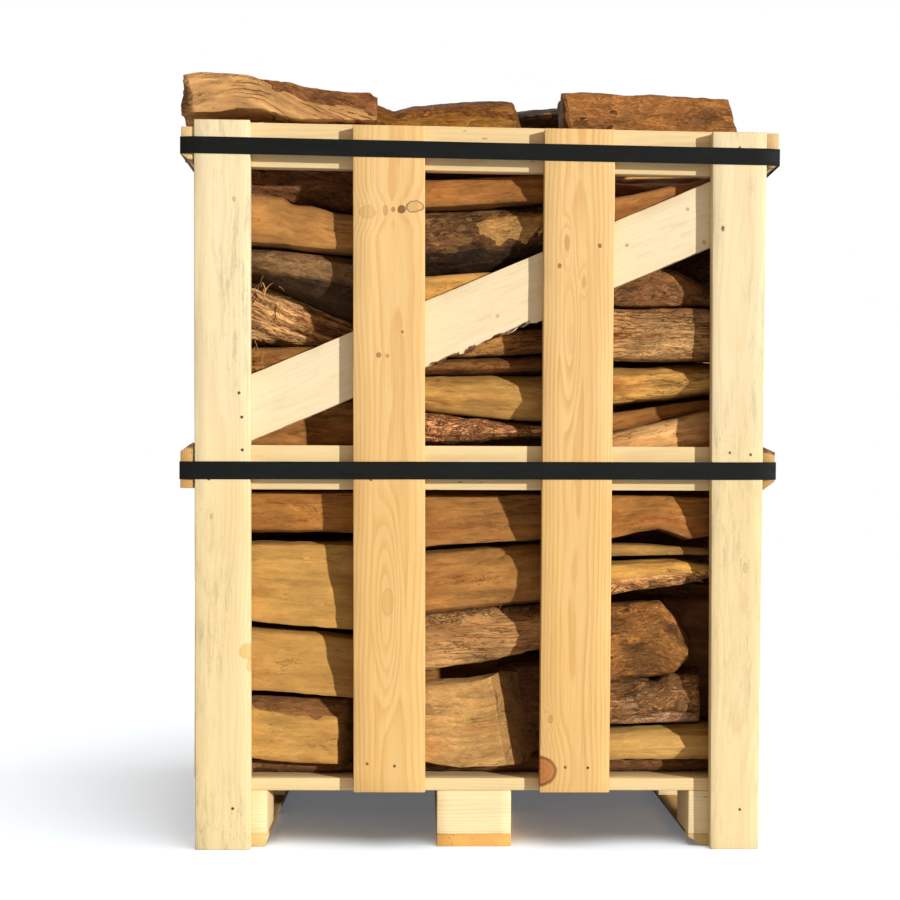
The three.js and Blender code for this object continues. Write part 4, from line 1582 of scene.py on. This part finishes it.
@dataclass
class LooseLogs:
    """The ten logs laid on top, four of them in sight from the front."""

    seed: int = 900

    def _specs(self) -> dict[str, SplitLog]:
        """Every top log by its CAD node."""
        s, w = Section, Woods
        specs = {
            "top_log_left_1": SplitLog(
                s.LEANING, w.CURLED,
                ((-519, 1283), (-460, 1284), (-420, 1292), (-383, 1291), (-340, 1278), (-317, 1275),
                 (-198, 1275)),
                ((-519, 1356), (-503, 1361), (-483, 1366), (-410, 1363), (-391, 1357), (-335, 1349),
                 (-271, 1338),
                 (-236, 1332), (-196, 1332),
                 (-187, 1322)), (-384, -389), 112.0, (-504.0, -184.0), string=0.0,
                left_skew=-0.03, right_skew=-0.12,
                flow=((-520, -6), (-470, 2), (-430, 6), (-390, 2), (-330, -20), (-270, -44), (-190, -70)),
                cracks=1.2,
                rind_above=((-450, 1370), (-410, 1356), (-340, 1326), (-260, 1302), (-195, 1286)), wild=1.1,
                lines=1.0, lines_from=-445.0,
                grime=0.0, left_nose=19.0, end_shade=0.75),
            "top_log_middle_1": SplitLog(
                s.TOPPED, w.MOSS, ((-200, 1240), (76, 1240)),
                ((-200, 1330), (-187, 1325), (-157, 1313), (-121, 1322), (-74, 1327), (0, 1332), (40, 1334),
                 (76, 1329)),
                (-352, -352), 100.0, (-202.0, 62.0), string=0.3, bare=-0.6, lumps=1.0, right_skew=0.2,
                lean=(0.0, -26.0), flaky=0.4,
                patch=(-30.0, 1284.0, 150.0, 16.0), wild=1.4, grime=0.0, end_shade=0.6),
            "top_log_middle_2": SplitLog(
                s.ROUND, w.SOOT, ((-150, 1228), (164, 1228)), ((-150, 1330), (60, 1344), (164, 1356)),
                (-236, -236), 112.0,
                (-150.0, 162.0), lumps=1.8, patch=(124.0, 1330.0, 14.0, 9.0), wild=1.5, grime=0.0),
            "top_log_right_1": SplitLog(
                s.LEANING, w.CHESTNUT, ((154, 1273), (458, 1273)),
                ((154, 1349), (230, 1347), (400, 1347), (458, 1343)),
                (-346, -350), 108.0, (154.0, 452.0), string=0.12, bare=-0.8, lumps=1.3, right_skew=-0.05,
                lean=(-4.0, -14.0), flaky=0.25,
                rind_above=((150, 1200), (460, 1200)), wild=1.1, grime=0.0, left_nose=7.0, end_shade=0.6),
        }
        shapes = (s.RIDGE, s.HALF, s.ROUND, s.FLAT, s.TOPPED, s.LEANING)
        woods = (w.TAN, w.BROWN, w.GREY, w.PINK, w.GOLD, w.UMBER)
        rest = ("left_2", "left_3", "middle_3", "middle_4", "right_2", "right_3")
        for number, tag in enumerate(rest):
            node = f"top_log_{tag}"
            low, high = (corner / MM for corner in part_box(node))
            specs[node] = SplitLog(
                shapes[number], woods[number], ((low.x, low.z + 1), (high.x, low.z + 1)),
                ((low.x, high.z - 5), ((low.x + high.x) / 2, high.z - 1), (high.x, high.z - 9)),
                (low.y + 2, low.y + 2),
                high.y - low.y - 4, (low.x + 3, high.x - 3), string=0.15 * (number % 3), grime=0.0)
        return specs

    def build(self, mould: LogMould) -> None:
        """Shape the top logs and hand each one over."""
        for number, (node, piece) in enumerate(self._specs().items()):
            piece.seed = self.seed + 23 * number
            made = mould.cast(piece, node.replace("top_log", "loose_log"))
            finish_log(made)
            hand_over(made, "split_firewood", node)


@dataclass
class Woodpile:
    """All the firewood."""

    def build(self) -> None:
        """Shape the moulds, stack the three columns and lay the loose logs."""
        fine = LogMould("mould_fine", 104, 54)
        medium = LogMould("mould_medium", 44, 18)
        coarse = LogMould("mould_coarse", 22, 7)
        columns = (
            LogColumn("left", (-474.0, -162.0), left_front(), 101),
            LogColumn("middle", (-157.0, 167.0), middle_front(), 307),
            LogColumn("right", (172.0, 474.0), right_front(), 503),
        )
        for column in columns:
            column.build(fine, medium, coarse)
        LooseLogs().build(fine)
        for mould in (fine, medium, coarse):
            mould.drop()


# ---- fittings ----------------------------------------------------------------------------------


@dataclass
class Strapping:
    """The two bands round the crate and the crimped seals that close them."""

    cut_every: float = 0.03

    def _band(self, name: str) -> None:
        """Dress one band: cut into lengths, with a slight ripple between boards."""
        node = f"strap_{name}"
        piece = new_copy(frame["nodes"][node], f"band_{name}")
        with edit_mode(piece):
            merge_faces(0.5)
            for axis, half in ((Vector((1, 0, 0)), 0.51), (Vector((0, 1, 0)), 0.39)):
                steps = int(2 * half / self.cut_every)
                cut_across(axis, (axis * (-half + 2 * half * i / steps) for i in range(1, steps)))
        places = points_of(piece)
        places[:, 2] += 0.35 * MM * noise(places / 0.11, 71)
        move_points(piece, places)
        dress(piece, StrapFinish(), 30.0)
        hand_over(piece, "strap_band", node)

    def _seal(self, name: str) -> None:
        """Model one crimped seal from a cube: two crimps pressed in across it."""
        node = f"strap_seal_{name}"
        low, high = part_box(node)
        middle, size = (low + high) / 2, high - low
        deselect_all()
        bpy.ops.mesh.primitive_cube_add(size=1.0, location=middle)
        seal = bpy.context.object
        seal.name = f"seal_{name}"
        seal.scale = size
        bpy.ops.object.transform_apply(location=True, rotation=True, scale=True)
        with edit_mode(seal):
            for axis, parts in ((Vector((0, 1, 0)), 24), (Vector((0, 0, 1)), 8)):
                cut_across(axis, (low + size * (i / parts) for i in range(1, parts)))
        places = points_of(seal)
        run = (places[:, 1] - middle.y) / (size.y / 2)
        rise = (places[:, 2] - middle.z) / (size.z / 2)
        way = math.copysign(1.0, middle.x)
        outer = (places[:, 0] - middle.x) * way > 0
        crimp = np.exp(-((np.abs(run) - 0.42) / 0.13) ** 2)
        notch = crimp * (np.abs(rise) > 0.99) * size.z * 0.07
        places[:, 2] -= np.sign(rise) * notch
        dent = crimp * (1.0 - np.abs(rise)) * size.x * 0.35
        round_off = (np.abs(rise) ** 6) * size.x * 0.3
        places[:, 0] -= np.where(outer, dent + round_off, 0.0) * way
        move_points(seal, places)
        with edit_mode(seal):
            bpy.ops.mesh.normals_make_consistent(inside=False)
        dress(seal, SteelFinish("seal_steel", (0.55, 0.55, 0.54), (0.32, 0.32, 0.31)), 30.0)
        hand_over(seal, "seal_steel", node)

    def build(self) -> None:
        """Make both bands and both seals."""
        for name in ("upper", "lower"):
            self._band(name)
            self._seal(name)


FRONT_FACE, SIDE_FACE = 0.4, 0.522


@dataclass
class Nails:
    """Nail heads where boards cross, joined in one set for each side of the crate."""

    # places on the front panel, x and z in millimetres
    FRONT = ((-420, 800), (-415, 758), (-414, 701), (-472, 650), (-429, 73), (-190, 651), (-194, 152),
             (-146, 148),
             (155, 146), (195, 145), (424, 1096), (452, 1237), (441, 703), (466, 71), (478, 700))
    radius: float = 0.0027
    proud: float = 0.0002

    def _head(self) -> Piece:
        """Model one nail head facing -Y: a low disc with a domed face."""
        deselect_all()
        bpy.ops.mesh.primitive_cylinder_add(vertices=14, radius=self.radius, depth=0.003,
                                            end_fill_type="NGON",
                                            rotation=(math.pi / 2, 0.0, 0.0))
        head = bpy.context.object
        bpy.ops.object.transform_apply(location=True, rotation=True, scale=True)
        with edit_mode(head):
            bpy.ops.mesh.select_all(action="DESELECT")
            bpy.ops.mesh.select_mode(type="FACE")
            bpy.ops.object.mode_set(mode="OBJECT")
            for face in head.data.polygons:
                face.select = face.normal.y < -0.9
            bpy.ops.object.mode_set(mode="EDIT")
            bpy.ops.mesh.inset(thickness=self.radius * 0.22, depth=0.0002)
            bpy.ops.mesh.inset(thickness=self.radius * 0.35, depth=0.00015)
            bpy.ops.mesh.select_mode(type="VERT")
        return head

    def _set(self, head: Piece, spots: list[Vector], turn: float, name: str) -> None:
        """Copy the head to each spot, turned to face outward, and join the set."""
        made = []
        for spot in spots:
            nail = new_copy(head, "nail")
            nail.data.transform(Matrix.Translation(spot) @ Matrix.Rotation(turn, 4, "Z"))
            made.append(nail)
        whole = join(made, name)
        dress(whole, SteelFinish("nail_steel", (0.30, 0.22, 0.14), (0.10, 0.065, 0.04)), 40.0)
        hand_over(whole, "seal_steel")

    def build(self) -> None:
        """Nail the four sides."""
        head = self._head()
        sink = 0.0015 - self.proud
        for face, way, turn in (("front", 1.0, 0.0), ("back", -1.0, math.pi)):
            spots = [Vector((way * x * MM, way * (sink - FRONT_FACE), z * MM)) for x, z in self.FRONT]
            self._set(head, spots, turn, f"nails_{face}")
        rng = np.random.default_rng(5)
        for side, sign in (("left", -1.0), ("right", 1.0)):
            spots = []
            for part in ("rail_top", "rail_middle"):
                low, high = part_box(f"{side}_side_{part}")
                for board in ("corner_front", "board_front", "board_back", "corner_back"):
                    near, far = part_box(f"{side}_side_{board}")
                    for share in (0.3, 0.7):
                        y = near.y + (far.y - near.y) * share
                        z = (low.z + high.z) / 2 + (0.021 if share > 0.5 else -0.018) + rng.uniform(-3,
                                                                                                    3) * MM
                        spots.append(Vector((sign * (SIDE_FACE - sink), y, z)))
            self._set(head, spots, sign * math.pi / 2, f"nails_{side}")
        bpy.data.objects.remove(head)


@dataclass
class Splinters:
    """Loose fibres that curl off the torn logs and the deck."""

    def _strand(self, root: Vector, way: Vector, length: float, curl: float, girth: float,
                rng: np.random.Generator) -> Piece:
        """Model one tapered fibre as a bevelled curve turned to mesh."""
        curve = bpy.data.curves.new("strand", "CURVE")
        curve.dimensions = "3D"
        curve.bevel_depth = girth
        curve.bevel_resolution = 1
        curve.use_fill_caps = True
        spline = curve.splines.new("POLY")
        points = 9
        spline.points.add(points - 1)
        side = way.cross(Vector((0.3, -1.0, 0.2))).normalized()
        bend = Vector(rng.uniform(-0.25, 0.25, 3))
        for i in range(points):
            t = i / (points - 1)
            angle = curl * t
            spot = root + (way * math.sin(angle) + side * (1 - math.cos(angle))) * (length / max(curl, 0.3))
            spot += bend * length * t * t
            spline.points[i].co = (*spot, 1.0)
            spline.points[i].radius = 1.0 - 0.75 * t
        strand = bpy.data.objects.new("strand", curve)
        bpy.context.scene.collection.objects.link(strand)
        activate(strand)
        bpy.ops.object.convert(target="MESH")
        return bpy.context.object

    def build(self) -> None:
        """Scatter the fibres on the torn logs of the front."""
        rng = np.random.default_rng(77)
        beds = (
            ((-400, -352), (962, 1002), -346, 7, 0.6, 1.2), ((-402, -360), (885, 915), -350, 4, 0.6, 1.0),
            ((-402, -380), (845, 856), -360, 3, 0.8, 1.5), ((-325, -305), (604, 626), -351, 2, 0.7, 1.6),
            ((-402, -390), (128, 150), -374, 3, 0.5, 1.0), ((-92, -60), (735, 765), -368, 4, 0.7, 1.2),
            ((-60, 70), (408, 416), -366, 2, 0.8, 1.1), ((-400, -355), (958, 1000), -344, 5, 1.6, 0.7),
        )
        made = [self._strand(Vector((-0.402, -0.362, 0.832)), Vector((1.0, 0.0, 0.25)), 0.042, 1.7, 0.0009,
                             rng),
                self._strand(Vector((-0.402, -0.366, 0.900)), Vector((0.4, -0.05, 1.0)), 0.034, 1.2, 0.0007,
                             rng)]
        for (x0, x1), (z0, z1), y, count, girth, curl in beds:
            for _ in range(count):
                root = Vector((rng.uniform(x0, x1), y, rng.uniform(z0, z1))) * MM
                way = Vector((rng.uniform(-0.2, 1.0), rng.uniform(-0.15, 0.03),
                              rng.uniform(-0.8, 0.5))).normalized()
                long = rng.uniform(14, 30 if girth < 1.0 else 38)
                made.append(self._strand(root, way, long * MM, curl * rng.uniform(0.5, 1.4),
                                         rng.uniform(0.6, 1.1) * girth * MM,
                                         rng))
        whole = join(made, "splinters")
        places = points_of(whole)
        places[:, 1] = np.maximum(places[:, 1], -0.3768)
        move_points(whole, places)
        store(whole, "grain", places)
        store(whole, "tone", np.array([(0.50, 0.27, 0.10)]))
        store(whole, "bark_tone", np.array([(0.5, 0.3, 0.1)]))
        for name in ("bark", "end", "string", "lines", "flaky", "wild"):
            store(whole, name, 1.0 if name == "wild" else 0.0)
        dress(whole, FIREWOOD)
        finish_log(whole)
        hand_over(whole, "split_firewood")


# ---- studio ------------------------------------------------------------------------------------


@dataclass(frozen=True)
class Sun:
    """A distant light: its turn to the right of the front, height and softness in degrees, and power."""

    name: str
    turn: float
    height: float
    softness: float
    power: float
    colour: Colour = (1.0, 1.0, 1.0)

    def shine_on(self, group: bpy.types.Collection) -> None:
        """Make the light, for the pieces that a collection names or leaves out."""
        light = bpy.data.lights.new(self.name, "SUN")
        light.energy = self.power
        light.angle = math.radians(self.softness)
        light.color = self.colour
        lamp = bpy.data.objects.new(self.name, light)
        bpy.context.scene.collection.objects.link(lamp)
        turn, height = math.radians(self.turn), math.radians(self.height)
        flat = math.cos(height)
        source = Vector((math.sin(turn) * flat, -math.cos(turn) * flat, math.sin(height)))
        lamp.rotation_mode = "QUATERNION"
        lamp.rotation_quaternion = source.to_track_quat("Z", "Y")
        lamp.light_linking.receiver_collection = group


KEY = Sun("key", 50.0, 11.5, 1.6, 4.45, (0.975, 1.0, 0.985))
WASH = Sun("floor_wash", 30.0, 72.0, 60.0, 3.95, (0.855, 0.92, 0.975))
REAR = Sun("rear_fill", 205.0, 38.0, 25.0, 1.7)
LIFT = Sun("timber_lift", 10.0, 14.0, 120.0, 0.95, (1.0, 0.90, 0.78))


def receivers(name: str, state: str, pieces: Iterable[Piece]) -> bpy.types.Collection:
    """Collect the pieces that a light is for, or isn't for.

    Args:
        name: The collection's name.
        state: INCLUDE for these pieces alone, or EXCLUDE for all others.
        pieces: The pieces.

    Returns:
        The collection. Lights for the same pieces share it.
    """
    group = bpy.data.collections.new(name)
    for piece in pieces:
        group.objects.link(piece)
    for entry in group.collection_objects:
        entry.light_linking.link_state = state
    return group


@dataclass
class Studio:
    """The pale floor, the distant lights, a dim warm sky that looks white, and the camera."""

    floor_size: float = 14.0
    ambient: Colour = (0.205, 0.158, 0.115)
    place: tuple[float, float, float] = (-0.099, -2.9, 0.6348)
    yaw: float = 2.0
    pitch: float = 1.51
    roll: float = 0.42
    focal: float = 57.09
    shift: Pair = (-0.0253, 0.0858)

    def _floor(self) -> Piece:
        """A large pale floor with a faint mottle."""
        deselect_all()
        bpy.ops.mesh.primitive_plane_add(size=self.floor_size)
        floor = bpy.context.object
        floor.name = "floor"
        sheet = NodeSheet("studio_floor")
        mottle = sheet.place().noise((3.0, 3.0, 3.0), 2.0)
        colour = sheet.mix(mottle, (0.84, 0.84, 0.84), (0.86, 0.86, 0.86))
        seen = sheet.node("ShaderNodeLightPath", {}).out("Is Camera Ray")
        colour = sheet.mix(seen, (0.44, 0.42, 0.40), colour)
        wiring = {"Emission Color": (0.64, 0.80, 1.0), "Emission Strength": 0.112, "Base Color": colour,
                  "Roughness": mottle.step(0.0, 1.0, 0.9, 0.95), "Specular IOR Level": 0.1}
        for name, value in wiring.items():
            sheet.feed(sheet.shader.inputs[name], value)
        floor.data.materials.append(sheet.material)
        return floor

    def _light(self, floor: Piece) -> None:
        """Key light and rear light on all but the floor, wash light on the floor alone, and the sky."""
        all_but_floor = receivers("not_floor", "EXCLUDE", [floor])
        KEY.shine_on(all_but_floor)
        WASH.shine_on(receivers("floor_only", "INCLUDE", [floor]))
        REAR.shine_on(all_but_floor)
        world = bpy.data.worlds.new("studio")
        bpy.context.scene.world = world
        world.use_nodes = True
        tree = world.node_tree
        back = tree.nodes["Background"]
        back.inputs[0].default_value = (*self.ambient, 1.0)
        seen = tree.nodes.new("ShaderNodeBackground")
        seen.inputs[0].default_value = (1.0, 1.0, 1.0, 1.0)
        path = tree.nodes.new("ShaderNodeLightPath")
        blend = tree.nodes.new("ShaderNodeMixShader")
        tree.links.new(path.outputs["Is Camera Ray"], blend.inputs[0])
        tree.links.new(back.outputs[0], blend.inputs[1])
        tree.links.new(seen.outputs[0], blend.inputs[2])
        tree.links.new(blend.outputs[0], tree.nodes["World Output"].inputs[0])

    def lift_timber(self) -> None:
        """A weak light on the sawn boards alone, so that they stay pale where the key light misses them."""
        boards = [p for p in bpy.context.scene.objects if p.name.endswith("_board")]
        LIFT.shine_on(receivers("timber", "INCLUDE", boards))

    def _camera(self) -> None:
        """The camera, a little left of the middle and low, looking slightly right and down."""
        lens = bpy.data.cameras.new("camera")
        lens.sensor_width = 36.0
        lens.lens = self.focal
        lens.shift_x, lens.shift_y = self.shift
        camera = bpy.data.objects.new("camera", lens)
        bpy.context.scene.collection.objects.link(camera)
        yaw, pitch, roll = (math.radians(a) for a in (self.yaw, self.pitch, self.roll))
        ahead = Vector((math.sin(yaw) * math.cos(pitch), math.cos(yaw) * math.cos(pitch), -math.sin(pitch)))
        right = Vector((math.cos(yaw), -math.sin(yaw), 0.0))
        up = right.cross(ahead)
        turned_right = right * math.cos(roll) + up * math.sin(roll)
        turned_up = up * math.cos(roll) - right * math.sin(roll)
        matrix = Matrix((turned_right, turned_up, -ahead)).transposed().to_4x4()
        matrix.translation = Vector(self.place)
        camera.matrix_world = matrix
        bpy.context.scene.camera = camera

    def build(self) -> None:
        """Set up the studio."""
        self._camera()
        self._light(self._floor())
        bpy.context.scene.view_settings.view_transform = "Standard"


def main() -> None:
    """Build the studio, the crate, the firewood and the fittings."""
    logging.basicConfig(level=logging.INFO, format="%(name)s: %(message)s")
    studio = Studio()
    studio.build()
    Carpentry().build()
    Woodpile().build()
    Strapping().build()
    Nails().build()
    Splinters().build()
    studio.lift_timber()


if __name__ == "__main__":
    main()
